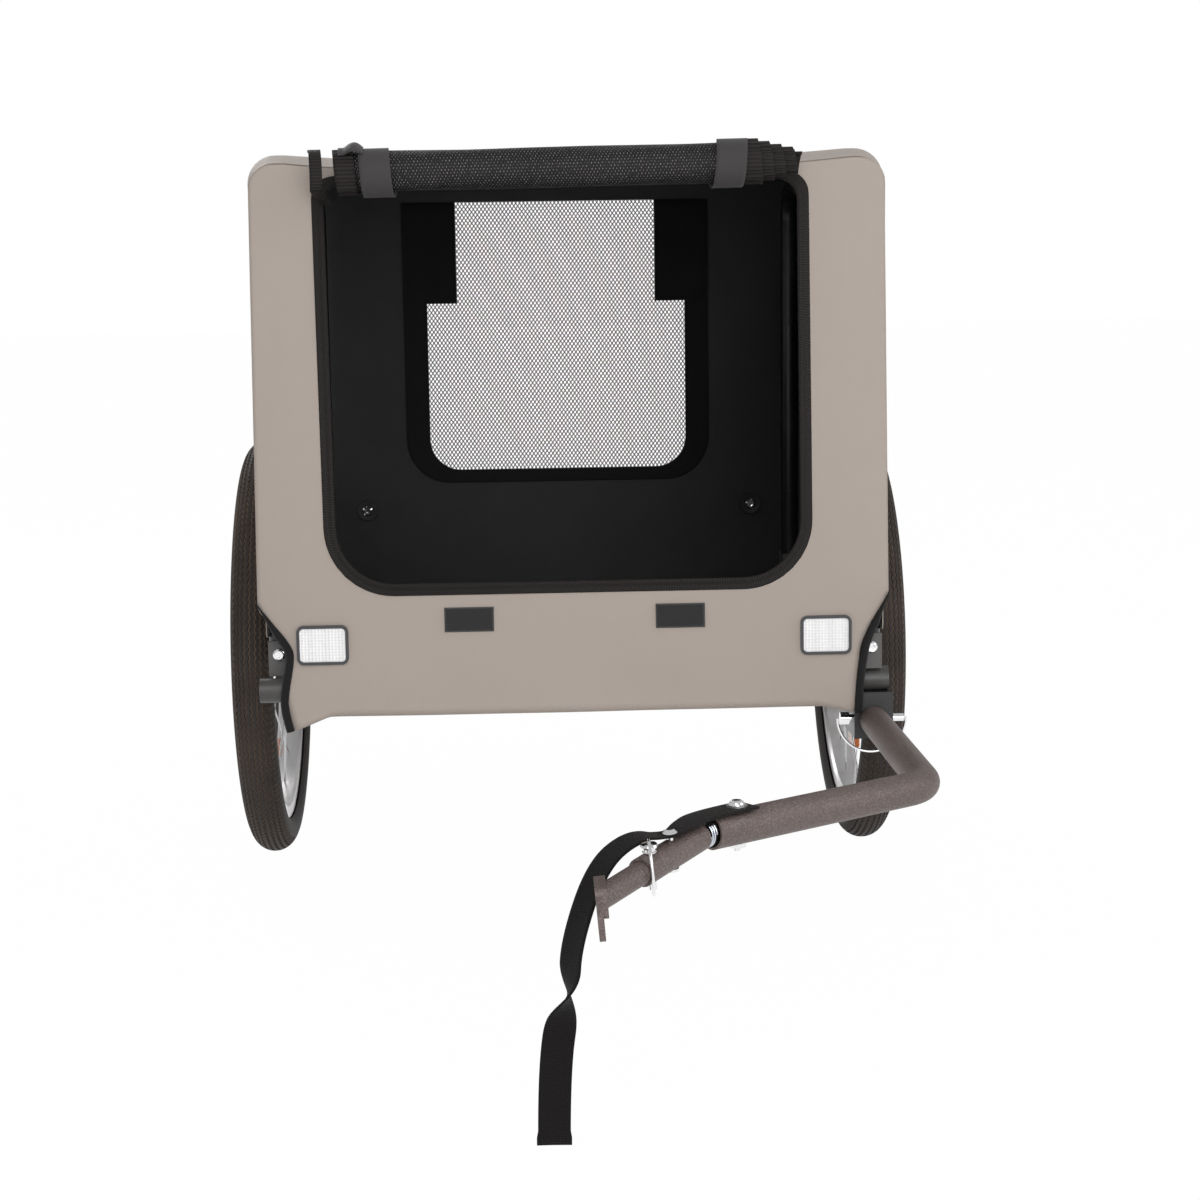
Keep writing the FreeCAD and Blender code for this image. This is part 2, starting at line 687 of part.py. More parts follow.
washers = []
screws = []
for side in (-1, 1):
    washer_start = V(side * size("washer_offset"), back_y, size("washer_height"))
    disc = rod("WasherDisc", "<washer_radius>", "<washer_wall>", washer_start, V(0, -1, 0))
    hole = rod("WasherHole", "<bolt_radius>", "<washer_wall>", washer_start, V(0, -1, 0))
    washers.append(cut("RearWasher", disc, hole))
    screw_top = washer_start - V(0, size("washer_wall"), 0)
    shank = rod("ScrewShank", "<bolt_radius>", "<washer_wall>", washer_start, V(0, -1, 0))
    head = rod("ScrewHead", "<bolt_head_radius>", "<bolt_head_height> / 2", screw_top, V(0, -1, 0))
    screws.append(fuse("RearScrew", shank, head))
sub_part("rear_washers", group("RearWashers", *washers))
sub_part("rear_screws", group("RearScrews", *screws))


def reflector_pair(name, plane, way, height):
    """A ribbed lens in a frame on either side, standing on the cloth."""
    lenses = []
    frames = []
    for side in (-1, 1):
        centre_x = side * size("reflector_offset")
        inside = rectangle(centre_x, height, size("reflector_length"), size("reflector_width"))
        edge = 2 * size("reflector_frame")
        outside = rectangle(centre_x, height, size("reflector_length") + edge, size("reflector_width") + edge)
        corner = size("lens_corner")
        inner = rounded(inside, [corner] * 4, lambda x, z: V(x, plane, z))
        outer = rounded(outside, [corner + size("reflector_frame")] * 4, lambda x, z: V(x, plane, z))
        lens_face = profile("LensOutline", inner)
        frame_face = profile("LensFrameOutline", outer, inner)
        lenses.append(extrude("Lens", lens_face, way, "<reflector_stand> - <lens_recess>"))
        frames.append(extrude("LensFrame", frame_face, way, "<reflector_stand>"))
    sub_part(name + "_reflector_lenses", group(name + "Lenses", *lenses))
    sub_part(name + "_reflector_frames", group(name + "Frames", *frames))


reflector_pair("front", skin_y, V(0, -1, 0), size("door_sill_height") - size("reflector_drop"))
reflector_pair("rear", back_y + cloth, V(0, 1, 0), size("rear_reflector_height"))

patches = []
for side in (-1, 1):
    patch_z = size("door_sill_height") - size("patch_drop")
    patch_x = side * size("patch_offset")
    patch_wire = rounded(rectangle(patch_x, patch_z, size("patch_length"), size("patch_width")),
                         [size("patch_corner")] * 4, lambda x, z: V(x, skin_y, z))
    patches.append(extrude("Patch", profile("PatchOutline", patch_wire), V(0, -1, 0), "<cloth>"))
sub_part("door_patches", group("DoorPatches", *patches))

# Rolled-up door: a roll of mesh above the opening, held by two straps.
roll_r = size("door_roll_radius")
roll_y = skin_y - 2 * size("side_gap") - roll_r - size("roll_strap_wall")
roll_z = crown_z - size("door_roll_drop")
roll_start = V(-size("door_roll_half_length"), roll_y, roll_z)
roll = rod("DoorRoll", "<door_roll_radius>", "2 * <door_roll_half_length>", roll_start, V(1, 0, 0))
sub_part("door_roll", roll)
loops = []
for side in (-1, 1):
    loop_start = V(side * size("roll_strap_offset") - size("roll_strap_width") / 2, roll_y, roll_z)
    loops.append(pipe("RollStrap", "<door_roll_radius> + <side_gap> / 2 + <roll_strap_wall>",
                      "<door_roll_radius> + <side_gap> / 2", "<roll_strap_width>", loop_start, V(1, 0, 0)))
sub_part("roll_straps", group("RollStraps", *loops))

# Tow arm: a bent tube in a socket under the right rail, held by a pin with a wire bail.
arm_x = size("arm_offset")
arm_z = size("arm_height")
arm_corner = V(arm_x, -size("arm_bend_reach"), arm_z)
arm_tip = V(size("arm_tip_offset"), -size("arm_tip_reach"), arm_z)
arm_way = (arm_tip - arm_corner).normalize()
arm_end = arm_tip - arm_way * size("flex_gap")
socket_back = -size("socket_front") + size("socket_length")
arm_points = [(arm_x, socket_back), (arm_x, arm_corner.y), (arm_end.x, arm_end.y)]
arm_route = rounded(arm_points, [size("arm_bend_radius")], lambda x, y: V(x, y, arm_z))
arm_tube = sweep("ArmTube", arm_route, "<arm_tube> / 2")
arm_bore = sweep("ArmBore", arm_route, "<arm_tube> / 2 - <arm_wall>")
pin_y = -size("socket_front") + size("arm_pin_back")
pin_start = V(arm_x - size("socket_width") / 2 - size("arm_pin_stand"), pin_y, arm_z)
pin_length = "<socket_width> + 2 * <arm_pin_stand>"
pin_bore = "<arm_pin_radius> + <running_clearance>"
arm_hole = rod("ArmPinHole", pin_bore, pin_length, pin_start, V(1, 0, 0))
bolt_spot = arm_tip - arm_way * size("strap_bolt_back")
arm_top = arm_z + size("arm_tube") / 2
strap_hole = rod("StrapBoltHole", "<strap_bolt_radius> + <running_clearance>", 2 * size("arm_tube"),
                 bolt_spot - V(0, 0, size("arm_tube")), V(0, 0, 1))
sub_part("tow_arm", cut("TowArm", arm_tube, arm_bore, arm_hole, strap_hole))

socket_top = floor_z - size("base_tube") - size("socket_gap")
socket_corner = V(arm_x - size("socket_width") / 2, -size("socket_front"), size("socket_floor"))
socket_tall = socket_top - size("socket_floor")
housing = block("SocketHousing", "<socket_width>", "<socket_length>", socket_tall, socket_corner)
socket_way = rod("SocketWay", "<arm_tube> / 2 + <socket_gap>", "<socket_length>",
                 V(arm_x, -size("socket_front"), arm_z), V(0, 1, 0))
socket_hole = rod("SocketPinHole", pin_bore, pin_length, pin_start, V(1, 0, 0))
sub_part("arm_socket", cut("ArmSocket", housing, socket_way, socket_hole))
pin_bar = rod("ArmPinBar", "<arm_pin_radius>", pin_length, pin_start, V(1, 0, 0))
pin_head = rod("ArmPinHead", "<arm_pin_head_radius>", "<arm_pin_head_length>", pin_start, V(1, 0, 0))
sub_part("arm_pin", fuse("ArmPin", pin_bar, pin_head))
bail_x = size("socket_width") / 2 + size("arm_pin_stand") + size("bail_wire") + size("bail_gap")
bail_arc = Part.Arc(V(arm_x - bail_x, pin_y, arm_z), V(arm_x, pin_y, arm_z - bail_x),
                    V(arm_x + bail_x, pin_y, arm_z))
sub_part("arm_pin_bail", sweep("ArmPinBail", Part.Wire([bail_arc.toShape()]), "<bail_wire>"))

# Sprung hitch: flex spring on its core, swivel tube, coupler with the plate for the bicycle's axle.
hitch_tip = V(size("hitch_tip_offset"), -size("hitch_tip_reach"), arm_z - size("hitch_droop"))
hitch_way = (hitch_tip - arm_tip).normalize()
hitch_reach = (hitch_tip - arm_tip).Length
hitch_side = V(0, 0, 1).cross(hitch_way).normalize()
hitch_up = hitch_way.cross(hitch_side)


def along(distance, up=0.0):
    return arm_tip + hitch_way * distance + hitch_up * up


pin_spot = size("flex_gap") + size("swivel_length") - size("hitch_pin_back")
hitch_pin_half = size("swivel_tube") / 2 + size("hitch_pin_stand")
hitch_bore = "<hitch_pin_radius> + <running_clearance>"
pin_low = along(pin_spot, -hitch_pin_half)
swivel_hole = rod("SwivelPinHole", hitch_bore, 2 * hitch_pin_half, pin_low, hitch_up)
swivel = pipe("SwivelPipe", "<swivel_tube> / 2", "<swivel_tube> / 2 - <swivel_wall>", "<swivel_length>",
              along(size("flex_gap")), hitch_way)
strap_half = size("strap_wall") / 2
rivet_seat = size("swivel_tube") / 2 + strap_half + size("rivet_lift")
rivet_low = -size("swivel_tube") / 2 - size("rivet_foot")
rivet_high = rivet_seat + strap_half + size("rivet_play")
rivet_start = along(size("rivet_spot"), rivet_low)
rivet_bore = "<rivet_radius> + <running_clearance>"
rivet_hole = rod("SwivelRivetHole", rivet_bore, rivet_high - rivet_low, rivet_start, hitch_up)
sub_part("swivel_tube", cut("SwivelTube", swivel, swivel_hole, rivet_hole))
rivet_shank = rod("RivetShank", "<rivet_radius>", rivet_high - rivet_low, rivet_start, hitch_up)
rivet_foot = rod("RivetFoot", "2 * <rivet_radius>", "<rivet_foot> - <side_gap>", rivet_start, hitch_up)
rivet_head = doc.addObject("Part::Cone", "RivetHead")
put(rivet_head, "Radius1", "<rivet_head_radius>")
put(rivet_head, "Radius2", "<rivet_head_radius> / 2")
put(rivet_head, "Height", "<rivet_head_height>")
rivet_head.Placement = aim(along(size("rivet_spot"), rivet_high), hitch_up)
sub_part("strap_rivet", fuse("StrapRivet", rivet_shank, rivet_foot, rivet_head))
core_length = "<flex_core_back> + <flex_core_front>"
core = rod("FlexCoreRod", "<flex_core_radius>", core_length, along(-size("flex_core_back")), hitch_way)
plug = rod("FlexCorePlug", "<swivel_tube> / 2 - <swivel_wall> - <stub_gap>", "<flex_plug_length>",
           along(size("flex_core_front")), hitch_way * -1)
sub_part("flex_core", fuse("FlexCore", core, plug))

# The coupler's plate stands square to the bicycle's axle, so the stub meets it on the slant and is
# trimmed at the plate's outer face.
plate_turn = FreeCAD.Rotation(hitch_up, -size("coupler_turn"))
plate_way = plate_turn.multVec(hitch_way)
plate_side = plate_turn.multVec(hitch_side)
stub_start = size("flex_gap") + size("swivel_length") - size("stub_inside")
stub = rod("CouplerStub", "<swivel_tube> / 2 - <swivel_wall> - <stub_gap>",
           hitch_reach - stub_start + size("swivel_tube"), along(stub_start), hitch_way)


def plate_point(a, b):
    return along(hitch_reach) + plate_side * a + hitch_up * b


half_plate = size("coupler_width") / 2
half_tail = size("coupler_tail_width") / 2
head_high = size("coupler_head")
plate_points = [(-half_plate, head_high), (-half_plate, -head_high), (-half_tail, -size("coupler_tail")),
                (half_tail, -size("coupler_tail")), (half_plate, -head_high), (half_plate, head_high)]
half_rounds = [size("coupler_head_corner"), size("coupler_neck_corner"), size("coupler_tail_corner")]
plate_rounds = half_rounds + half_rounds[::-1]
plate_wire = rounded(plate_points, plate_rounds, plate_point)
coupler_plate = extrude("CouplerPlate", profile("CouplerOutline", plate_wire), plate_way, "<coupler_wall>")
pad_wire = rounded(rectangle(0, 0, size("coupler_width"), 2 * head_high),
                   [size("coupler_head_corner")] * 4, plate_point)
coupler_pad = extrude("CouplerPad", profile("CouplerPadOutline", pad_wire), plate_way * -1, "<coupler_pad>")
outer_face = plate_way * size("coupler_wall")
trim_wire = rounded(rectangle(0, 0, 3 * size("coupler_width"), 3 * size("coupler_width")), [0] * 4,
                    lambda a, b: plate_point(a, b) + outer_face)
stub_trim = extrude("StubTrim", profile("StubTrimOutline", trim_wire), plate_way, 2 * size("coupler_width"))
bike_hole = rod("BikeAxleHole", "<bike_axle_hole>", 2 * size("coupler_wall"),
                plate_point(0, -size("bike_axle_drop")) - outer_face * 0.5, plate_way)
stub_hole = rod("StubPinHole", hitch_bore, 2 * hitch_pin_half, pin_low, hitch_up)
coupler_body = fuse("CouplerBody", cut("TrimmedStub", stub, stub_trim), coupler_plate, coupler_pad)
sub_part("coupler", cut("Coupler", coupler_body, bike_hole, stub_hole))

pin_rod = rod("HitchPinRod", "<hitch_pin_radius>", 2 * hitch_pin_half, pin_low, hitch_up)
knob_low = along(pin_spot, size("swivel_tube") / 2 + size("side_gap"))
knob = rod("HitchPinKnob", "<hitch_pin_radius> + <hitch_knob_grip>", "<hitch_pin_stand>", knob_low, hitch_up)
sub_part("hitch_pin", fuse("HitchPin", pin_rod, knob))
loop_r = hitch_pin_half + size("side_gap") + size("bail_wire") + size("bail_gap")
loop_way = (hitch_way + hitch_side * math.tan(math.radians(size("hitch_bail_turn")))).normalize()
loop_centre = along(pin_spot)
hitch_arc = Part.Arc(loop_centre + hitch_up * loop_r, loop_centre + loop_way * loop_r,
                     loop_centre - hitch_up * loop_r)
sub_part("hitch_pin_bail", sweep("HitchPinBail", Part.Wire([hitch_arc.toShape()]), "<bail_wire>"))

# Flex spring: one unbroken wire on a helix of half-turn arcs, its axis halfway between arm and hitch.
spring_way = (arm_way + hitch_way).normalize()
spring_side = V(0, 0, 1).cross(spring_way).normalize()
spring_up = spring_way.cross(spring_side)
turns = int(size("flex_turns"))
pitch = size("flex_pitch")
coil_r = size("flex_coil_radius")


def coil_point(turn):
    angle = 2 * math.pi * turn
    height = (turn - turns / 2) * pitch
    ring = spring_side * math.cos(angle) + spring_up * math.sin(angle)
    return arm_tip + spring_way * height + ring * coil_r


coil_edges = []
for quarter in range(4 * turns):
    coil_edges.append(Part.Arc(coil_point(quarter / 4), coil_point((quarter + 0.5) / 4),
                               coil_point((quarter + 1) / 4)).toShape())
coil_wire = Part.Wire(coil_edges)
start_edge = coil_edges[0]
wire_ring = Part.Wire([Part.Circle(coil_point(0), start_edge.tangentAt(start_edge.FirstParameter),
                                   size("flex_wire")).toShape()])
spring = doc.addObject("Part::Feature", "FlexSpring")
spring.Shape = coil_wire.makePipeShell([wire_ring], True, False)
sub_part("flex_spring", spring)
samples = [coil_point(step / 24) for step in range(24 * turns + 1)]
nearest = min((a - b).Length for i, a in enumerate(samples) for b in samples[i + 16:])
least_gap = nearest - 2 * size("flex_wire")
print(f"flex spring: least gap to itself {least_gap:.2f} mm")

# Safety strap: webbing bolted on the arm and riveted on the swivel tube, its free end hanging
# beside the hitch.
strap_side = V(0, 0, 1).cross(arm_way)
strap_top = arm_top + size("side_gap") + strap_half
rivet_point = along(size("rivet_spot"), rivet_seat) - arm_tip
strap_corners = [
    (-50.0, 0.0, 0.0), (2.0, 0.0, 0.0),
    (rivet_point.dot(arm_way), rivet_point.dot(strap_side), rivet_point.z + arm_z - strap_top),
    (74.0, -4.0, -4.0), (108.0, -5.0, -26.0), (139.0, 0.0, -84.0), (140.0, 0.0, -122.0),
    (157.0, 0.0, -166.0), (158.0, 0.0, -244.0),
]


def strap_point(number):
    forward, aside, rise = strap_corners[number]
    return arm_tip + arm_way * forward + strap_side * aside + V(0, 0, strap_top - arm_z + rise)


strap_stops = [strap_point(number) for number in range(len(strap_corners))]
strap_radii = []
for before, corner, after in zip(strap_stops, strap_stops[1:], strap_stops[2:]):
    turn = (corner - before).getAngle(after - corner)
    strap_radii.append(0.45 * min((corner - before).Length, (after - corner).Length) / math.tan(turn / 2))
print("safety strap radii:", [round(radius) for radius in strap_radii])
strap_wire = rounded([(number,) for number in range(len(strap_corners))], strap_radii, strap_point)
strap_start = strap_stops[0]
half_width = strap_side * (size("strap_width") / 2)
half_wall = V(0, 0, strap_half)
strap_section = Part.makePolygon([strap_start + half_width + half_wall, strap_start - half_width + half_wall,
                                  strap_start - half_width - half_wall, strap_start + half_width - half_wall,
                                  strap_start + half_width + half_wall])
strap = doc.addObject("Part::Feature", "SafetyStrap")
play = size("running_clearance")
rivet_axis = along(size("rivet_spot"))
strap_tools = [Part.makeCylinder(size("strap_bolt_radius") + play, 2 * size("arm_tube"), bolt_spot),
               Part.makeCylinder(size("rivet_radius") + play, rivet_high, rivet_axis, hitch_up)]
strap.Shape = strap_wire.makePipeShell([strap_section], True, False).cut(strap_tools)
sub_part("safety_strap", strap, cord=True)
expected = size("strap_width") * size("strap_wall") * strap_wire.Length
print(f"safety strap: {strap_wire.Length:.0f} mm long, volume share {strap.Shape.Volume / expected:.3f}")

bolt_low = arm_z - size("arm_tube") / 2 - size("bolt_head_height")
bolt_high = strap_top + strap_half
bolt_foot = V(bolt_spot.x, bolt_spot.y, bolt_low)
bolt_seat = V(bolt_spot.x, bolt_spot.y, bolt_high)
shank = rod("StrapBoltShank", "<strap_bolt_radius>", bolt_high - bolt_low, bolt_foot, V(0, 0, 1))
washer = rod("StrapBoltWasher", "3 * <strap_bolt_radius>", "<strap_washer_wall>", bolt_seat, V(0, 0, 1))
head = rod("StrapBoltHead", "2 * <strap_bolt_radius>", "<bolt_head_height>", bolt_seat, V(0, 0, 1))
nut = rod("StrapBoltNut", "2 * <strap_bolt_radius>", "<bolt_head_height> - <side_gap>", bolt_foot, V(0, 0, 1))
sub_part("strap_bolt", fuse("StrapBolt", shank, washer, head, nut))

# The origin is on the ground in the middle of the whole trailer, strap apart.
doc.recompute()
reach = FreeCAD.BoundBox()
for piece in sub_parts:
    if piece not in cord_parts:
        reach.add(piece.Shape.optimalBoundingBox(True, False))
to_middle = V(0, -(reach.YMin + reach.YMax) / 2, 0)
for piece in sub_parts:
    piece.Placement = FreeCAD.Placement(to_middle, FreeCAD.Rotation()).multiply(piece.Placement)
doc.recompute()
print(f"axle at y = {to_middle.y:.4f}; hitch way {hitch_way}; arm way {arm_way}")

for item in doc.Objects:
    if "Invalid" in item.State or "Error" in item.State:
        raise RuntimeError(f"{item.Label} failed: {item.State}")
for piece in sub_parts:
    if piece.Shape.isNull() or not piece.Shape.isValid() or not piece.Shape.Solids:
        raise RuntimeError(f"{piece.Label} has no valid solid")

os.makedirs("parts", exist_ok=True)
for piece in sub_parts:
    piece.Shape.exportStep(f"parts/{piece.Label}.step")
print(f"{len(sub_parts)} sub-parts")
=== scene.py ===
import json
import math

import bpy
from mathutils import Matrix, Vector


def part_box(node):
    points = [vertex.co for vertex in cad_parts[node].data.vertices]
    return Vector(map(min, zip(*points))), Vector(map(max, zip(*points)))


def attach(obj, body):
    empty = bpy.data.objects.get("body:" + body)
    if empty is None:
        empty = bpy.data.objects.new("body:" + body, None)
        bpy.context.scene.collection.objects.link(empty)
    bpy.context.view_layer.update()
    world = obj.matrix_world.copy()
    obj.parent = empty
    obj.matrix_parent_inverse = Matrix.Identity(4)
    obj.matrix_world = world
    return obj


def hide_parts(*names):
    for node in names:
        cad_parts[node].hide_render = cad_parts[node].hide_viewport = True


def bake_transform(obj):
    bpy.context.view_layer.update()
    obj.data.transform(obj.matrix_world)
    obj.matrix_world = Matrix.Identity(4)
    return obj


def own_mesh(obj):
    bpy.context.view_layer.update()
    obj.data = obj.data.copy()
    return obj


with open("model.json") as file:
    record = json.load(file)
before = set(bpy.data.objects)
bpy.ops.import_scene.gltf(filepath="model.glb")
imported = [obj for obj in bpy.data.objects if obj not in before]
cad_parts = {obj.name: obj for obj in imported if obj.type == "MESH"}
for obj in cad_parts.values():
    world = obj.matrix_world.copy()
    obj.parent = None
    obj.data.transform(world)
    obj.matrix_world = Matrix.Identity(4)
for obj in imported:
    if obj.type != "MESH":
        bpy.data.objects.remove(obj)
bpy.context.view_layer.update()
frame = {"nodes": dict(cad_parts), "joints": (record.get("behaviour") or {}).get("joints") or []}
nodes = frame["nodes"]


# Base frame: round steel tubes, coped and welded into a rectangle, then powder coated dark grey.
# The coat is satin, with a fine orange peel and a little dust in patches.
class Value:
    """A shader value. Arithmetic on it adds Math nodes."""

    def __init__(self, nodes, socket):
        self.nodes = nodes
        self.socket = socket

    def math(self, operation, first, second=0.0):
        return self.nodes.node("Math", {"operation": operation}, {0: first, 1: second})

    def __add__(self, other):
        return self.math("ADD", self, other)

    def __sub__(self, other):
        return self.math("SUBTRACT", self, other)

    def __rsub__(self, other):
        return self.math("SUBTRACT", other, self)

    def __mul__(self, other):
        return self.math("MULTIPLY", self, other)

    __radd__ = __add__
    __rmul__ = __mul__


class Nodes:
    """The nodes of one tree."""

    def __init__(self, tree):
        self.tree = tree

    def node(self, kind, settings=None, inputs=None, output=0):
        made = self.tree.nodes.new("ShaderNode" + kind)
        for name, value in (settings or {}).items():
            setattr(made, name, value)
        for name, value in (inputs or {}).items():
            self.feed(made.inputs[name], value)
        return Value(self, made.outputs[output])

    def feed(self, socket, value):
        if isinstance(value, Value):
            self.tree.links.new(value.socket, socket)
        else:
            socket.default_value = value

    def seen_by(self, *rays):
        """1 for the named kinds of ray, 0 for the others."""
        seen = self.node("LightPath", output=rays[0])
        for ray in rays[1:]:
            seen = seen.math("MAXIMUM", seen, self.node("LightPath", output=ray))
        return seen


class Finish(Nodes):
    """One procedural material: a Principled shader and the nodes that feed it."""

    def __init__(self, name, **constants):
        self.material = bpy.data.materials.new(name)
        self.material.use_nodes = True
        super().__init__(self.material.node_tree)
        self.shader = self.tree.nodes["Principled BSDF"]
        for socket, value in constants.items():
            self.shader.inputs[socket.replace("_", " ")].default_value = value

    def skin(self, share, first, second, roughness, height, depth):
        """Mixes two colours by share, and sets the roughness and a bump of that depth."""
        mixed = self.node("Mix", {"data_type": "RGBA"}, {0: share, 6: (*first, 1.0), 7: (*second, 1.0)}, 2)
        bump = self.node("Bump", None, {"Strength": 1.0, "Distance": depth, "Height": height})
        for socket, value in (("Base Color", mixed), ("Roughness", roughness), ("Normal", bump)):
            self.feed(self.shader.inputs[socket], value)

    def place(self):
        return self.node("TexCoord", output="Object")

    def noise(self, scale, detail=2.0, at=None):
        return self.node("TexNoise", None, {"Vector": at or self.place(), "Scale": scale, "Detail": detail})

    def patches(self, scale, detail, low, high):
        """Noise stretched so that it is 0 under low and 1 over high."""
        return self.clamp(self.noise(scale, detail), low, high)

    def clamp(self, value, low, high):
        return self.node("MapRange", None, {0: value, 1: low, 2: high})

    def split(self, vector):
        outputs = self.node("SeparateXYZ", None, {0: vector}).socket.node.outputs
        return [Value(self, outputs[axis]) for axis in range(3)]

    def threads(self):
        """The piece's own UV map, in metres."""
        return self.split(self.node("UVMap", {"uv_map": "UVMap"}))[:2]

    def wave(self, value, pitch):
        """A ripple from 0 to 1 that repeats each pitch."""
        turned = value * (2 * math.pi / pitch)
        return turned.math("SINE", turned) * 0.5 + 0.5

    def weave(self, pitch):
        """Plain weave, 1 where a thread comes to the top."""
        weft, warp = self.threads()
        turn = self.wave(weft + warp, 2 * pitch)
        return self.wave(weft, pitch) * turn + self.wave(warp, pitch) * (1 - turn)


def powder_coat(name, colour, scuffed, roughness):
    """Sprayed and baked paint: fine orange peel, faint dust, slightly uneven gloss."""
    coat = Finish(name, Specular_IOR_Level=0.45)
    peel = coat.noise(700.0)
    dust = coat.patches(14.0, 5.0, 0.52, 0.78)
    coat.skin(dust * 0.35, colour, scuffed, roughness + coat.noise(45.0, 4.0) * 0.16 + dust * 0.1, peel, 0.00012)
    return coat


def dress(finish, *names):
    for name in names:
        mesh = nodes[name].data
        mesh.materials.clear()
        mesh.materials.append(finish.material)


frame_grey = powder_coat("frame_grey", (0.050, 0.048, 0.047), (0.15, 0.145, 0.14), 0.28)
dress(frame_grey, "front_cross_tube", "rear_cross_tube", "left_base_rail", "right_base_rail")


# Floor board: a stiff board in black coated cloth, laid on the rails.
# The cloth shows a plain weave and a soft sheen.
def woven(name, thread, shade, pitch, roughness, depth, sheen=0.0, gloss=0.16):
    """Plain weave, a little cloudy and worn."""
    cloth = Finish(name, Specular_IOR_Level=gloss, Sheen_Weight=sheen, Sheen_Roughness=0.5)
    over = cloth.weave(pitch)
    cloud = cloth.noise(5.0, 4.0)
    worn = cloth.patches(28.0, 6.0, 0.45, 0.8)
    cloth.skin(
        over * 0.25 + cloud * 0.55 + worn * 0.1, thread, shade,
        roughness + cloud * 0.12 - over * 0.06, over + worn * 0.6, depth)
    return cloth


cover = Finish("floor_cover", Specular_IOR_Level=0.3)
cover_x, cover_y, cover_z = cover.split(cover.place())
over = cover.wave(cover_x + cover_z, 0.0018) * cover.wave(cover_y + cover_z, 0.0018)
cloud = cover.noise(9.0, 5.0)
cover.skin(over * 0.3 + cloud * 0.6, (0.01, 0.01, 0.011), (0.028, 0.028, 0.03), 0.55 + cloud * 0.15, over, 0.00015)
dress(cover, "floor_panel")

# Corner brackets: pressed steel channels in dark grey powder coat, welded to the base.
# Each one carries a hoop's foot on a plated button-head bolt with a hexagon socket.
bracket_grey = powder_coat("bracket_grey", (0.082, 0.079, 0.077), (0.19, 0.185, 0.18), 0.34)
dress(bracket_grey, "corner_brackets", "left_axle_bracket", "right_axle_bracket")


def plated(name, colour, roughness, streak):
    """Plated or polished metal with faint rub marks and a duller skin in patches."""
    metal = Finish(name, Metallic=1.0)
    marks = metal.noise(streak, 6.0)
    dull = metal.patches(35.0, 3.0, 0.5, 0.75)
    metal.skin(dull * 0.4, colour, [0.72 * c for c in colour], roughness + marks * 0.12 + dull * 0.1, marks, 0.00003)
    return metal


up = Vector((0, 0, 1))
forward = Vector((0, -1, 0))
chrome = plated("chrome", (0.86, 0.86, 0.87), 0.05, 260.0)
zinc = plated("zinc_steel", (0.62, 0.62, 0.64), 0.22, 420.0)


def pick(*pieces):
    """Selects only these pieces, with the first one active."""
    bpy.ops.object.select_all(action="DESELECT")
    for piece in pieces:
        piece.select_set(True)
    bpy.context.view_layer.objects.active = pieces[0]


def edit(piece):
    pick(piece)
    bpy.ops.object.mode_set(mode="EDIT")
    bpy.ops.mesh.select_all(action="SELECT")


def lattice(name, across, along, place, finish, facing=None, flat=None, wall=0.0, grow=0.0):
    """Cells whose corners go where place(u, v) says. A seam that meets is merged.
    facing is the way the outer side looks, and flat gives the UV map in metres.
    wall is the thickness, grown inward where grow is -1 and to both sides where it is 0."""
    bpy.ops.object.select_all(action="DESELECT")
    bpy.ops.mesh.primitive_grid_add(x_subdivisions=across, y_subdivisions=along, size=1.0)
    piece = bpy.context.object
    piece.name = name
    flat_spots = []
    for corner in piece.data.vertices:
        u, v = round(corner.co.x + 0.5, 6), round(corner.co.y + 0.5, 6)
        corner.co = place(u, v)
        flat_spots.append(flat(u, v, corner.co) if flat else (u, v))
    for loop, cell in zip(piece.data.loops, piece.data.uv_layers[0].data):
        cell.uv = flat_spots[loop.vertex_index]
    edit(piece)
    bpy.ops.mesh.remove_doubles(threshold=1e-6)
    bpy.ops.mesh.dissolve_degenerate(threshold=1e-7)
    if facing is None:
        bpy.ops.mesh.normals_make_consistent(inside=False)
    bpy.ops.object.mode_set(mode="OBJECT")
    if facing is not None:
        looks = sum((face.normal * face.area for face in piece.data.polygons), Vector())
        if looks.dot(Vector(facing)) < 0:
            edit(piece)
            bpy.ops.mesh.flip_normals()
            bpy.ops.object.mode_set(mode="OBJECT")
    bpy.ops.object.shade_smooth()
    piece.data.materials.append(finish.material)
    if wall:
        finish_with(piece, "SOLIDIFY", thickness=wall, offset=grow)
    return piece


def flat_front(u, v, spot):
    return spot.x, spot.z


def finish_with(piece, kind, **settings):
    """Adds a modifier and applies it."""
    pick(piece)
    modifier = piece.modifiers.new(kind, kind)
    for name, value in settings.items():
        setattr(modifier, name, value)
    bpy.ops.object.modifier_apply(modifier=modifier.name)
    return piece


def joined(name, pieces):
    pick(*pieces)
    bpy.ops.object.join()
    pieces[0].name = name
    return pieces[0]


def fit(piece, body, replaced=None):
    """Puts a piece on its body, in place of its CAD solids."""
    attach(piece, body)
    if replaced:
        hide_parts(replaced)


def turned(name, profile, centre, way, finish, around=40, hexagon=()):
    """A lathe form: profile is (radius, height) pairs along way. Rows in hexagon are six-sided."""
    way = Vector(way).normalized()
    side = way.orthogonal().normalized()
    other = way.cross(side)
    last = len(profile) - 1

    def place(u, v):
        row = round(v * last)
        radius, height = profile[row]
        angle = 2 * math.pi * u
        if row in hexagon:
            radius /= math.cos((angle % (math.pi / 3)) - math.pi / 6)
        return Vector(centre) + way * height + (side * math.cos(angle) + other * math.sin(angle)) * radius

    piece = lattice(name, around, last, place, finish)
    bpy.ops.object.shade_smooth_by_angle(angle=math.radians(32))
    return piece


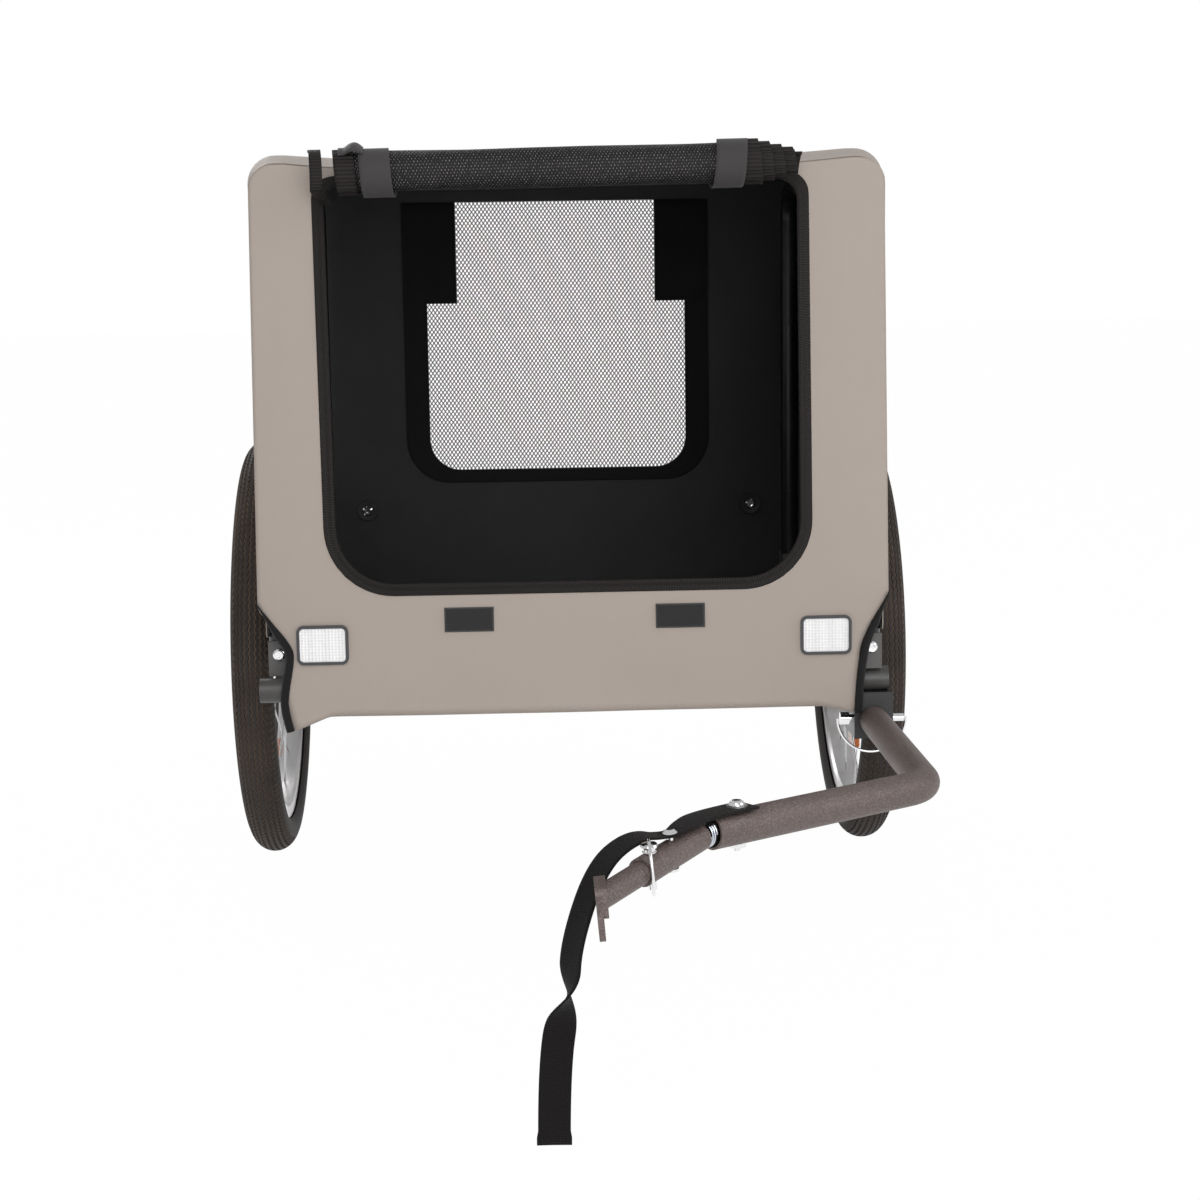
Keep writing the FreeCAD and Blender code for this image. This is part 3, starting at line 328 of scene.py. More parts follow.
def button_bolt(name, head, shank, length, centre, way):
    """Button head with a hexagon socket, its shank and a hexagon nut at the far end."""
    socket, rise, nut, tip = head * 0.42, head * 0.55, -length + 0.004, -length - 0.003
    profile = [
        (0.0, rise * 0.25), (socket, rise * 0.25), (socket, rise * 0.98), (head * 0.62, rise),
        (head * 0.86, rise * 0.68), (head * 0.97, rise * 0.25), (head, 0.0), (shank, 0.0), (shank, nut), (head, nut),
        (head, -length + 0.0002), (head * 0.9, -length), (shank, -length), (shank * 0.9, tip), (0.0, tip),
    ]
    return turned(name, profile, centre, way, chrome, 48, (1, 2, 9, 10, 11))


joints = {joint["name"]: joint for joint in frame["joints"]}
axle_y = joints["left_wheel_spin"]["pos_m"][1]
pivot_height = joints["left_fold"]["pos_m"][2]
front_leg = axle_y - 0.440
rear_leg = axle_y + 0.215
nest = 0.026
hoop_x = 0.303
head_out = 0.0143
pivot_bolts = []
for x, inset in ((-hoop_x, nest), (hoop_x, 0.0)):
    for leg in (front_leg + inset, rear_leg - inset):
        pivot_bolts.append(button_bolt(
            "pivot_bolt", 0.007, 0.004, 0.0326, (x, leg - head_out, pivot_height), forward))
fit(joined("pivot_bolt_set", pivot_bolts), "base", "pivot_bolts")

# Wheels: an alloy rim laced to a hub with plated spokes, on a push-in axle with a button.
# The rim is drawn alloy with a satin skin, the hub is turned from the same metal.
alloy = Finish("rim_alloy", Metallic=1.0)
brush = alloy.node("Mapping", None, {"Vector": alloy.place(), "Scale": (900.0, 40.0, 40.0)})
grain = alloy.noise(1.0, 3.0, brush)
grime = alloy.patches(18.0, 5.0, 0.48, 0.76)
alloy.skin(grime * 0.6, (0.66, 0.65, 0.65), (0.34, 0.31, 0.29), 0.24 + grain * 0.16 + grime * 0.15, grain, 0.00002)
button_grey = powder_coat("button_grey", (0.10, 0.10, 0.11), (0.16, 0.16, 0.16), 0.42)
amber = Finish("amber_lens", Coat_Weight=0.6, Specular_IOR_Level=0.6)
_, amber_y, amber_z = amber.split(amber.place())
prism = amber.wave(amber_y, 0.0035) * amber.wave(amber_z, 0.0035)
amber.skin(prism, (0.62, 0.14, 0.006), (0.95, 0.36, 0.03), 0.12 + prism * 0.12, prism, 0.0006)
for side in ("left", "right"):
    dress(alloy, side + "_rim", side + "_hub")
    dress(zinc, side + "_spokes", side + "_axle", side + "_bearings")
    dress(button_grey, side + "_axle_button")
    dress(amber, side + "_wheel_reflector")

# Tyres: moulded black rubber with zig-zag ribs on the crown and small lugs on the shoulders.
# Pale road dust lies in the grooves.
rubber_tyre = Finish("tyre_rubber", Specular_IOR_Level=0.3)
dusty = rubber_tyre.node("Attribute", {"attribute_name": "groove"}, None, "Fac")
patchy = rubber_tyre.patches(24.0, 5.0, 0.3, 0.75)
speck = rubber_tyre.noise(800.0, 2.0)
film = rubber_tyre.patches(7.0, 4.0, 0.4, 0.75)
rubber_tyre.skin(
    dusty * (patchy * 0.7 + 0.3) * 0.75 + film * 0.12, (0.024, 0.020, 0.019), (0.19, 0.135, 0.095),
    0.62 + dusty * 0.25 + speck * 0.1, speck, 0.00008)
tyre_radius = 0.250
tyre_half = 0.0235
wheel_track = 0.356
zig_count = 176
zig_reach = 0.0011
groove_depth = 0.0016
groove_half = 0.0008
crown_rows = []
for middle in (-0.0185, -0.0125, -0.0065, 0.0, 0.0065, 0.0125, 0.0185):
    for step, sunk in ((-1.7, 0.0), (-1.0, 1.0), (1.0, 1.0), (1.7, 0.0)):
        crown_rows.append((middle + step * groove_half, sunk))
side_rows = [(0.0560, 0.0), (0.0500, 0.0), (0.0440, 0.0), (0.0400, 0.0), (0.0345, 0.15), (0.0300, 0.0), (0.0262, 0.0),
             (0.0225, 0.0)]
tread_rows = [(-s, d) for s, d in side_rows] + crown_rows + [(s, d) for s, d in reversed(side_rows)]
bead_arc = tyre_half * math.radians(131)


def tyre(name, side):
    last = len(tread_rows) - 1
    around = 4 * zig_count
    middle = Vector((side * wheel_track, axle_y, tyre_radius))

    def place(u, v):
        arc, sunk = tread_rows[round(v * last)]
        step = round(u * around)
        arc = max(-bead_arc, min(bead_arc, arc))
        if abs(arc) < 0.021:
            arc += zig_reach * (1, 0, -1, 0)[step % 4]
        depth = sunk * groove_depth
        if 0.021 < abs(arc) < 0.028 and step % 4 < 2:
            depth = 0.0012
        bend = arc / tyre_half
        height = tyre_radius - tyre_half + (tyre_half - depth) * math.cos(bend)
        out = (tyre_half - depth) * math.sin(bend)
        angle = 2 * math.pi * u
        return middle + Vector((out, height * math.cos(angle), height * math.sin(angle)))

    piece = lattice(name, around, last, place, rubber_tyre)
    groove = piece.data.attributes.new("groove", "FLOAT", "POINT")
    for corner, cell in zip(piece.data.vertices, groove.data):
        arm = corner.co - middle
        ring = math.hypot(arm.y, arm.z) - (tyre_radius - tyre_half)
        cell.value = min(1.0, max(0.0, (tyre_half - math.hypot(ring, arm.x)) / groove_depth))
    finish_with(piece, "SOLIDIFY", thickness=0.003, offset=-1.0)
    bpy.ops.object.shade_smooth_by_angle(angle=math.radians(40))
    return piece


for side, sign in (("left", -1), ("right", 1)):
    fit(tyre(side + "_tyre_moulded", sign), side + "_wheel", side + "_tyre")

# Side hoops: bent black tubes that carry the roof, on the bolts of the corner brackets.
# They are satin black.
frame_black = powder_coat("frame_black", (0.018, 0.018, 0.020), (0.07, 0.065, 0.06), 0.22)
dress(frame_black, "left_hoop", "right_hoop", "arm_socket")

# Cabin cloth: panels of warm grey coated polyester, black on the inside, cut, hemmed and sewn.
# The cloth is a little slack between its seams, and the windows are of slanting net threads.
taupe = Finish("taupe_cloth", Specular_IOR_Level=0.28, Sheen_Weight=0.12, Sheen_Roughness=0.45)
over = taupe.weave(0.0011)
cloud = taupe.noise(3.2, 4.0)
handled = taupe.patches(11.0, 6.0, 0.45, 0.8)
fold = taupe.noise(16.0, 3.0)
taupe.skin(
    over * 0.10 + cloud * 0.3 + handled * 0.08, (0.380, 0.328, 0.290), (0.318, 0.272, 0.239),
    0.52 + cloud * 0.1 - over * 0.05, over * 0.12 + fold * 0.6, 0.0009)
lining = woven("black_lining", (0.010, 0.010, 0.0105), (0.030, 0.030, 0.031), 0.0013, 0.30, 0.0002, 0.1, 0.3)
tape_black = woven("black_tape", (0.005, 0.005, 0.0053), (0.016, 0.0145, 0.014), 0.0016, 0.6, 0.0003, 0.05)
cloth_wall = 0.0012


def bent(points, radii, per_corner=10):
    """A closed outline of straight runs and rounded corners."""
    line = []
    for index, corner in enumerate(points):
        corner = Vector(corner)
        radius = radii[index]
        before = (Vector(points[index - 1]) - corner).normalized()
        after = (Vector(points[(index + 1) % len(points)]) - corner).normalized()
        if radius <= 0:
            line.append(corner)
            continue
        half = before.angle(after) / 2
        start = corner + before * radius / math.tan(half)
        end = corner + after * radius / math.tan(half)
        middle = corner + (before + after).normalized() * radius / math.sin(half)
        for step in range(per_corner + 1):
            spoke = (start - middle).lerp(end - middle, step / per_corner).normalized()
            line.append(middle + spoke * radius)
    return line


def rounded(left, foot, right, head, radii):
    return bent([(left, foot), (right, foot), (right, head), (left, head)], radii)


def spread(line, count):
    """Points at even steps along a closed outline."""
    ends = list(zip(line, line[1:] + line[:1]))
    lengths = [(b - a).length for a, b in ends]
    total = sum(lengths)
    points, run, passed = [], 0, 0.0
    for number in range(count):
        goal = total * number / count
        while passed + lengths[run] < goal - 1e-9:
            passed += lengths[run]
            run += 1
        a, b = ends[run]
        points.append(a.lerp(b, (goal - passed) / lengths[run] if lengths[run] else 0))
    return points


def clipped(line, start, way):
    """The stretch of a straight line inside a convex outline that runs counter-clockwise."""
    low, high = -9.0, 9.0
    for a, b in zip(line, line[1:] + line[:1]):
        run = b - a
        if run.length < 1e-9:
            continue
        inward = Vector((-run.y, run.x))
        gap = inward.dot(start - a)
        rate = inward.dot(way)
        if abs(rate) < 1e-12:
            if gap < 0:
                return None
        elif rate > 0:
            low = max(low, -gap / rate)
        else:
            high = min(high, -gap / rate)
    return (low, high) if high - low > 0.002 else None


def slack(a, b, seed):
    """Soft waves of cloth that isn't quite tight, from 0 to about 1."""
    wave = math.sin(13 * a + 7 * b + seed) + math.sin(29 * b - 11 * a + 2.1 * seed) * 0.6
    wave += math.sin(41 * a + 23 * b + 3.7 * seed) * 0.35 + math.sin(17 * a - 37 * b + 1.3 * seed) * 0.3
    return 0.5 + wave / 4.5


def lined(piece):
    """Gives cloth its thickness and its black inside."""
    piece.data.materials.append(lining.material)
    return finish_with(piece, "SOLIDIFY", thickness=cloth_wall, offset=-1.0, material_offset=1)


def ringed_panel(name, outer, inner, centre, put, facing, cuts=16, count=520):
    """Cloth between an outer outline and an opening, set in space by put(a, b, share)."""
    centre = Vector(centre)
    rim = spread(outer, count)
    hole = [centre + (point - centre) * clipped(inner, centre, point - centre)[1] for point in rim]

    def place(u, v):
        index = round(u * count) % count
        spot = hole[index].lerp(rim[index], v)
        return put(spot.x, spot.y, v)

    def flat(u, v, spot):
        return (spot.y, spot.z) if abs(facing[0]) > 0.5 else (spot.x, spot.z)

    return lined(lattice(name, count, cuts, place, taupe, facing, flat))


def sewn_on(piece, replaced=None):
    """Cloth on the base, with a mesh of its own."""
    fit(piece, "base", replaced)
    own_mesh(piece)


net_black = Finish("net_black", Specular_IOR_Level=0.3)
net_cloud = net_black.noise(60.0, 3.0)
net_black.skin(
    net_cloud, (0.075, 0.062, 0.078), (0.16, 0.135, 0.165),
    0.55 + net_cloud * 0.2, net_black.noise(1500.0), 0.0001)


def knotted_net(name, outline, put, pitch, thread, slope):
    """Two families of slanting threads, clipped to an outline that runs counter-clockwise."""
    middle = sum(outline, Vector((0, 0))) / len(outline)
    reach = max((point - middle).length for point in outline)
    corners, faces = [], []
    for family, lift in ((1, 0.0), (-1, 0.0003)):
        way = Vector((math.cos(slope), family * math.sin(slope)))
        step = Vector((-way.y, way.x))
        count = int(reach / pitch)
        for number in range(-count, count + 1):
            start = middle + step * (number * pitch)
            run = clipped(outline, start, way)
            if run is None:
                continue
            pieces = max(1, int((run[1] - run[0]) / 0.06))
            for part in range(pieces):
                share = [run[0] + (run[1] - run[0]) * (part + end) / pieces for end in (0, 1)]
                base = len(corners)
                for distance in share:
                    for edge in (-0.5, 0.5):
                        spot = start + way * distance + step * (edge * thread)
                        corners.append(put(spot.x, spot.y, lift))
                faces.append((base, base + 1, base + 3, base + 2))
    mesh = bpy.data.meshes.new(name)
    mesh.from_pydata([tuple(corner) for corner in corners], [], faces)
    piece = bpy.data.objects.new(name, mesh)
    bpy.context.scene.collection.objects.link(piece)
    edit(piece)
    bpy.ops.mesh.remove_doubles(threshold=1e-7)
    bpy.ops.object.mode_set(mode="OBJECT")
    mesh.materials.append(net_black.material)
    finish_with(piece, "SOLIDIFY", thickness=0.0004, offset=0.0)
    return piece


# Side panels: cloth sewn over each hoop, with a net window. They fold down with the hoop.
# The window is bound with black tape.
tape_rows = ((0, 0), (0, 1), (0.12, 1.3), (0.88, 1.3), (1, 1), (1, 0))


def bound_edge(name, outline, width, stand, put, facing):
    """Black tape along a closed outline. Its rows are shares of its width and stand."""
    count = len(outline)
    normals = []
    for index in range(count):
        run = outline[(index + 1) % count] - outline[index - 1]
        normals.append(Vector((run.y, -run.x)).normalized())
    last = len(tape_rows) - 1

    def place(u, v):
        index = round(u * count) % count
        share, lift = tape_rows[round(v * last)]
        spot = outline[index] + normals[index] * (share * width)
        return put(spot.x, spot.y, lift * stand)

    return lattice(name, count, last, place, tape_black, facing, lambda u, v, spot: (u * count * 0.004, v * width))


side_hem = 0.2850
notch_rise = 0.0165
notch_half = 0.0153
skin_depth = 0.0009
window_corner = 0.04
for side, sign, inset in (("left", -1, nest), ("right", 1, 0.0)):
    low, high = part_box(side + "_side_panel")
    notch_z = pivot_height + notch_rise
    notch_front = front_leg + inset + notch_half
    notch_rear = rear_leg - inset - notch_half
    panel_outline = bent(
        [(low.y, notch_z), (notch_front, notch_z), (notch_front, side_hem), (notch_rear, side_hem),
         (notch_rear, notch_z), (high.y, notch_z), (high.y, high.z), (low.y, high.z)], [0.005] * 6 + [0.01] * 2)
    window_low, window_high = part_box(side + "_side_mesh")
    window_outline = rounded(window_low.y, window_low.z, window_high.y, window_high.z, [window_corner] * 4)
    outer_x = sign * (max(abs(low.x), abs(high.x)) - skin_depth)

    def on_side(y, z, share):
        bulge = 0.0022 * slack(y, z, 2.0 + sign) * math.sin(math.pi * share)
        return Vector((outer_x + sign * bulge, y, z))

    centre = ((window_low.y + window_high.y) / 2, (window_low.z + window_high.z) / 2)
    panel = ringed_panel(side + "_side_cloth", panel_outline, window_outline, centre, on_side, (sign, 0, 0), 12, 420)
    net = knotted_net(side + "_side_net", window_outline,
                      lambda y, z, lift: Vector((outer_x - sign * (0.0006 + lift), y, z)),
                      0.0042, 0.0010, math.radians(52))
    tape = bound_edge(side + "_side_tape", spread(window_outline, 220), 0.012, 0.0008,
                      lambda y, z, lift: Vector((outer_x + sign * (0.0003 + lift), y, z)), (sign, 0, 0))
    fit(panel, side + "_side", side + "_side_panel")
    fit(net, side + "_side", side + "_side_mesh")
    fit(tape, side + "_side")

# Rear panel: one cloth panel, black inside, with a net window in a wide black border.
# Two stiff black tabs back the window's upper corners, and two screws sit in rubber washers.
low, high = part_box("rear_panel")
shoulder = 0.026
rear_outline = rounded(low.x, low.z, high.x, high.z, [0.01, 0.01, shoulder, shoulder])
net_low, net_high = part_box("rear_mesh")
rear_window = rounded(net_low.x, net_low.z, net_high.x, net_high.z, [window_corner, window_corner, 0.004, 0.004])
rear_skin = high.y


def on_rear(x, z, share):
    swell = 0.004 * slack(x * 1.3, z * 1.3, 5.0) * math.sin(math.pi * share)
    return Vector((x, rear_skin + 0.6 * swell - 0.002 * math.sin(math.pi * share), z))


rear_cloth = ringed_panel(
    "rear_cloth", rear_outline, rear_window, (0, (net_low.z + net_high.z) / 2), on_rear, (0, 1, 0))
rear_net = knotted_net("rear_net", rear_window, lambda x, z, lift: Vector((x, net_high.y - 0.0003 - lift, z)),
                       0.0041, 0.00125, math.radians(55))
border_low, border_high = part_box("window_binding")
border_side = net_low.x - border_low.x
border_foot = net_low.z - border_low.z


def border_line(share):
    """The U of the window's border, from its upper left corner round the foot to the upper right."""
    half, foot = net_high.x + share * border_side, net_low.z - share * border_foot
    corner = window_corner + share * border_foot
    left = [Vector((-half, net_high.z - (net_high.z - foot - corner) * step / 30)) for step in range(31)]
    for step in range(1, 16):
        angle = math.pi + math.pi / 2 * step / 16
        left.append(Vector((-half + corner + corner * math.cos(angle), foot + corner + corner * math.sin(angle))))
    left += [Vector(((corner - half) * (1 - step / 15), foot)) for step in range(16)]
    return left + [Vector((-spot.x, spot.y)) for spot in reversed(left[:-1])]


border_lines = [border_line(step / 8) for step in range(9)]


def on_border(u, v):
    line = border_lines[round(v * 8)]
    spot = line[round(u * (len(line) - 1))]
    return Vector((spot.x, border_high.y - 0.0006 - 0.0006 * slack(spot.x * 3, spot.y * 3, 1.0), spot.y))


window_border = lattice("window_border", len(border_lines[0]) - 1, 8, on_border, tape_black, forward, flat_front,
                        wall=0.0006, grow=-1)
tab_low, tab_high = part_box("window_tabs")
tab_width = 0.070
tabs = []
for sign in (-1, 1):
    def on_tab(u, v):
        swell = 0.0012 if min(u, v, 1 - u, 1 - v) > 0.03 else 0.0
        x = sign * (tab_high.x - tab_width * (1 - u))
        return Vector((x, tab_high.y - 0.0012 - swell, tab_low.z + (tab_high.z - tab_low.z) * v))

    tabs.append(lattice("window_tab", 24, 40, on_tab, tape_black, forward, flat_front, wall=0.0011, grow=-1))
window_tabs = joined("window_tab_pair", tabs)
rubber = powder_coat("washer_rubber", (0.012, 0.012, 0.012), (0.05, 0.05, 0.048), 0.5)
washer_profile = [(0.0045, 0.0), (0.014, 0.0), (0.014, 0.0026), (0.0128, 0.0038), (0.0095, 0.004), (0.008, 0.0032),
                  (0.0045, 0.0032), (0.0045, 0.0)]
screw_profile = [(0.0, 0.0034), (0.0026, 0.0034), (0.0026, 0.0060), (0.0045, 0.0060), (0.0066, 0.0046), (0.007, 0.0033),
                 (0.004, 0.0033), (0.004, 0.0002), (0.0, 0.0002)]
washers, screws = [], []
screw_x, screw_z = 0.253, 0.388
for x in (-screw_x, screw_x):
    spot = (x, low.y - 0.0002, screw_z)
    washers.append(turned("rear_washer", washer_profile, spot, forward, rubber))
    screws.append(turned("rear_screw", screw_profile, spot, forward, chrome, 36, (1, 2)))
fit(joined("rear_washer_pair", washers), "base", "rear_washers")
fit(joined("rear_screw_pair", screws), "base", "rear_screws")
sewn_on(rear_cloth, "rear_panel")
sewn_on(rear_net, "rear_mesh")
sewn_on(window_border, "window_binding")
sewn_on(window_tabs, "window_tabs")

# Roof: one sheet of the same cloth over both hoops, sewn to the front and rear panels.
# It hangs a little between the hoops, and its front edge dips where the rolled door pulls on it.
low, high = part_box("roof_panel")
roof_half = high.x
roof_crown = high.z
flank = high.z - low.z - shoulder
over_curve = shoulder * math.pi / 2
over_top = 2 * (roof_half - shoulder)
over_total = 2 * flank + 2 * over_curve + over_top
front_taper = 0.022


def across_roof(share):
    """A point of the roof's section, from the left flank over the top to the right one."""
    run = abs(share - 0.5) * over_total
    sign = -1 if share < 0.5 else 1
    if run <= over_top / 2:
        return Vector((sign * run, roof_crown))
    run -= over_top / 2
    if run <= over_curve:
        angle = run / shoulder
        x = roof_half - shoulder + shoulder * math.sin(angle)
        return Vector((sign * x, roof_crown - shoulder * (1 - math.cos(angle))))
    return Vector((sign * roof_half, roof_crown - shoulder - (run - over_curve)))


def roof_dip(x, along):
    """How far the roof hangs below its crown: along runs from the front edge to the rear."""
    middle = max(0.0, 1 - (abs(x) / 0.285) ** 2)
    front = math.exp(-(along / 0.10) ** 2)
    return middle * (0.006 + 0.008 * front) + 0.003 * middle * slack(x, along * 0.7, 0.4) + 0.012 * pulled(along)


def pulled(along):
    """Share of the front seam's pull, which draws the edge down and in."""
    return math.exp(-(along / 0.045) ** 2)


def on_roof(u, v):
    spot = across_roof(u)
    along = v * (high.y - low.y)
    narrow = 1 - front_taper * pulled(along) ** 2
    return Vector((spot.x * narrow, low.y + along, spot.y - roof_dip(spot.x, along)))


roof_cloth = lined(lattice(
    "roof_cloth", 150, 110, on_roof, taupe, up, lambda u, v, spot: (u * over_total, spot.y)))
sewn_on(roof_cloth, "roof_panel")

# Front panel: the same cloth with the door's opening, cut away round each front bracket.
# The notches are edged with wide black tape, and the hem hangs lower at both corners.
low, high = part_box("front_panel")
front_skin = low.y
half = high.x
crown = high.z
notch_top = 0.362
notch_in = half - 0.028
hem = low.z
front_points = [
    (-half, crown - 0.002), (-0.235, crown - 0.002), (0.235, crown - 0.002), (half, crown - 0.002), (half, notch_top),
    (notch_in - 0.002, notch_top - 0.046), (notch_in - 0.006, hem - 0.006), (notch_in - 0.040, hem + 0.002),
    (-notch_in + 0.042, hem + 0.002), (-notch_in + 0.005, hem - 0.013), (-notch_in - 0.003, hem + 0.020),
    (-notch_in + 0.006, hem + 0.068), (-half, notch_top),
]
front_radii = [shoulder, 0, 0, shoulder, 0.028, 0.05, 0.004, 0.02, 0.02, 0.003, 0.02, 0.024, 0.02]
front_outline = bent(front_points, front_radii)
door_left = -0.242
door_right = 0.234
door_lean = 0.007
door_sill = 0.382
door_head = 0.800
door_round = 0.062


def door_line(grow):
    corner = door_round + grow
    left, right, foot, head = door_left - grow, door_right + grow, door_sill - grow, door_head + grow
    points = [(left, foot), (right, foot), (right, head), (left - door_lean, head)]
    return bent(points, [corner, corner, corner / 2, corner / 2])


def on_front(x, z, share):
    """Slack between the seams, loose at the hem, and drawn down and in towards the roof."""
    bow = 0.0035 * slack(x * 0.8, z * 0.8, 3.1) * math.sin(math.pi * share)
    hang = 0.006 * max(0.0, (0.33 - z) / 0.08) * slack(x, z, 0.6)
    top = roof_dip(x, 0.0) * max(0.0, (z - 0.70) / (crown - 0.70)) ** 2
    narrow = 1 - front_taper * max(0.0, (z - 0.32) / (crown - 0.32))
    return Vector((x * narrow, front_skin - bow - hang, z - top))


front_cloth = ringed_panel("front_cloth", front_outline, door_line(0), (0, 0.56), on_front, forward, 18, 560)
sewn_on(front_cloth, "front_panel")


def on_skin(x, z, lift):
    """A point on the front panel's outer face, lift in front of it."""
    spot = on_front(x, z, 0.5 if 0.30 < z < 0.36 else 0.0)
    return Vector((spot.x, spot.y - lift, spot.z))


def drawn_line(name, points, resolution):
    """Points read from a smooth NURBS spline that has the given control points."""
    curve = bpy.data.curves.new(name, "CURVE")
    curve.dimensions = "3D"
    spline = curve.splines.new("NURBS")
    spline.points.add(len(points) - 1)
    for point, spot in zip(spline.points, points):
        point.co = (*spot, 1)
    spline.order_u = 3
    spline.use_endpoint_u = True
    spline.resolution_u = resolution
    holder = bpy.data.objects.new(name, curve)
    bpy.context.scene.collection.objects.link(holder)
    bpy.context.view_layer.update()
    line = bpy.data.meshes.new_from_object(holder.evaluated_get(bpy.context.evaluated_depsgraph_get()))
    bpy.data.objects.remove(holder)
    return [point.co.copy() for point in line.vertices]


tape_fold = [(0.0065, -0.004), (0.0065, -0.001), (0.005, 0.0016), (0.002, 0.0028), (-0.001, 0.0024), (-0.002, 0.0)]
notch_tapes = []
notch_edges = {
    -1: [(half, notch_top + 0.006), (half - 0.014, notch_top - 0.015), (notch_in - 0.005, notch_top - 0.040),
         (notch_in - 0.006, hem + 0.060), (notch_in, hem + 0.030), (notch_in + 0.002, hem + 0.010),
         (notch_in - 0.004, hem - 0.012)],
    1: [(half, notch_top + 0.006), (half - 0.014, notch_top - 0.020), (notch_in + 0.003, notch_top - 0.042),
        (notch_in - 0.003, hem + 0.040), (notch_in - 0.005, hem + 0.015), (notch_in - 0.006, hem - 0.005)],
}
for sign in (-1, 1):
    controls = [(sign * x, 0, z) for x, z in notch_edges[sign]]
    route = [Vector((spot.x, spot.z)) for spot in drawn_line("notch_route", controls, 10)]

    def on_notch(u, v):
        index = round(u * (len(route) - 1))
        ahead = route[min(index + 1, len(route) - 1)] - route[max(index - 1, 0)]
        outward = Vector((-ahead.y, ahead.x)).normalized()
        if outward.x * sign < 0:
            outward = -outward
        across, lift = tape_fold[round(v * (len(tape_fold) - 1))]
        spot = route[index] + outward * across * min(1.0, 0.1 + u / 0.2)
        return Vector((spot.x, on_front(spot.x, spot.y, 0.9).y - lift, spot.y))

    notch_tapes.append(lattice("notch_tape", len(route) - 1, len(tape_fold) - 1, on_notch, tape_black, forward,
                               lambda u, v, spot: (v * 0.016, u * 0.13), wall=0.0007, grow=-1))
notch_tape = joined("notch_tape_pair", notch_tapes)
sewn_on(notch_tape)

# Door edge: woven zip tape round the opening, with the coil of the zip along its inner edge.
# The tape is turned over the cloth and sewn down.
zip_coil = Finish("zip_coil", Specular_IOR_Level=0.18)
coil_run, coil_side = zip_coil.threads()
tooth = zip_coil.wave(coil_run, 0.0026)
rib = zip_coil.wave(coil_side, 0.0012)
zip_coil.skin(
    tooth * 0.5 + rib * 0.3, (0.007, 0.0065, 0.0065), (0.034, 0.028, 0.026),
    0.42 + rib * 0.2, tooth + rib * 0.5, 0.0005)
zip_rows = [(-0.003, -0.002), (-0.0035, 0.0005), (-0.003, 0.0028), (-0.001, 0.0036), (0.001, 0.0026), (0.002, 0.0016),
            (0.0035, 0.0014), (0.0065, 0.0014), (0.0088, 0.0012), (0.009, 0.0)]
door_count = 420
door_rings = {across: spread(door_line(across), door_count) for across, _ in zip_rows}


def on_zip(u, v):
    across, lift = zip_rows[round(v * (len(zip_rows) - 1))]
    spot = door_rings[across][round(u * door_count) % door_count]
    return on_skin(spot.x, spot.y, lift)


door_tape = lattice("door_tape", door_count, len(zip_rows) - 1, on_zip, zip_coil, forward,
                    lambda u, v, spot: (u * 1.75, v * 0.012), wall=0.0006, grow=-1)
sewn_on(door_tape, "door_zip")

# Door patches: two rectangles of hook-and-loop tape, sewn under the sill to hold the closed door.
# The pile is deep black and dull.
pile = Finish("pile_black", Specular_IOR_Level=0.15, Sheen_Weight=0.3, Sheen_Roughness=0.6)
fluff = pile.noise(2600.0, 3.0)
pile.skin(fluff, (0.004, 0.004, 0.0045), (0.020, 0.019, 0.019), 0.9 - fluff * 0.1, fluff, 0.0008)
patch_x, patch_z = 0.107, 0.348
patch_width, patch_height = 0.050, 0.025
patches = []
for x in (-patch_x, patch_x):
    def on_patch(u, v):
        lip = min(u / 0.04, (1 - u) / 0.04, v / 0.08, (1 - v) / 0.08, 1.0)
        return on_skin(x + (u - 0.5) * patch_width, patch_z + (v - 0.5) * patch_height, 0.0006 + 0.0018 * lip)

    patches.append(lattice("door_patch", 50, 26, on_patch, pile, forward, flat_front, wall=0.001, grow=-1))
door_patches = joined("door_patch_pair", patches)
sewn_on(door_patches, "door_patches")

# Reflectors: clear or red ribbed lenses in dark frames, riveted through the cloth, two in front and two behind.
# Columns of small prisms fill each lens.
lens_frame = powder_coat("reflector_frame", (0.045, 0.045, 0.05), (0.10, 0.10, 0.10), 0.4)
dress(lens_frame, "front_reflector_frames", "rear_reflector_frames")


def lens(name, dark, bright):
    glass = Finish(name, Coat_Weight=0.8, Coat_Roughness=0.06, Specular_IOR_Level=0.7)
    x, _, z = glass.split(glass.place())
    ribs = glass.wave(x, 0.0034)
    rows = glass.wave(z, 0.0030)
    column = glass.wave(x, 0.0155)
    facets = ribs * 0.6 + rows * 0.4
    glass.skin(facets * 0.75 + column * 0.25, dark, bright, 0.10 + facets * 0.16, facets + column * 0.4, 0.0007)
    return glass


dress(lens("white_lens", (0.72, 0.71, 0.72), (0.93, 0.92, 0.92)), "front_reflector_lenses")
dress(lens("red_lens", (0.22, 0.004, 0.004), (0.62, 0.02, 0.016)), "rear_reflector_lenses")

# Rolled door: the net door rolled up above the opening, about four turns, a little askew.
# Zip tape edges both ends, so the ends show as stepped spirals.
roll_net = Finish("rolled_net", Specular_IOR_Level=0.25)
net_u, net_v = roll_net.threads()
slant = roll_net.wave(net_u + net_v * 0.8, 0.0034)
counter = roll_net.wave(net_u - net_v * 0.8, 0.0034)
knot = slant * counter
band = roll_net.noise(38.0, 3.0)
# Painted highlight: glint is a mask of small specks on the knots, and the base colour is lightened there to stand in
# for glints of light on the threads.
glint = roll_net.clamp(roll_net.noise(420.0, 2.0) * knot, 0.30, 0.52)
roll_net.skin(
    glint * 0.8 + knot * 0.12, (0.006, 0.006, 0.0065), (0.24, 0.22, 0.22),
    0.38 + band * 0.25, knot + band * 0.6, 0.0009)
roll_low, roll_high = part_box("door_roll")
roll_radius = 0.0212
roll_y = front_skin - roll_radius - 0.005
roll_z = (roll_low.z + roll_high.z) / 2 - 0.012
roll_turns = 4.0
core_radius = 0.008
askew = 0.046
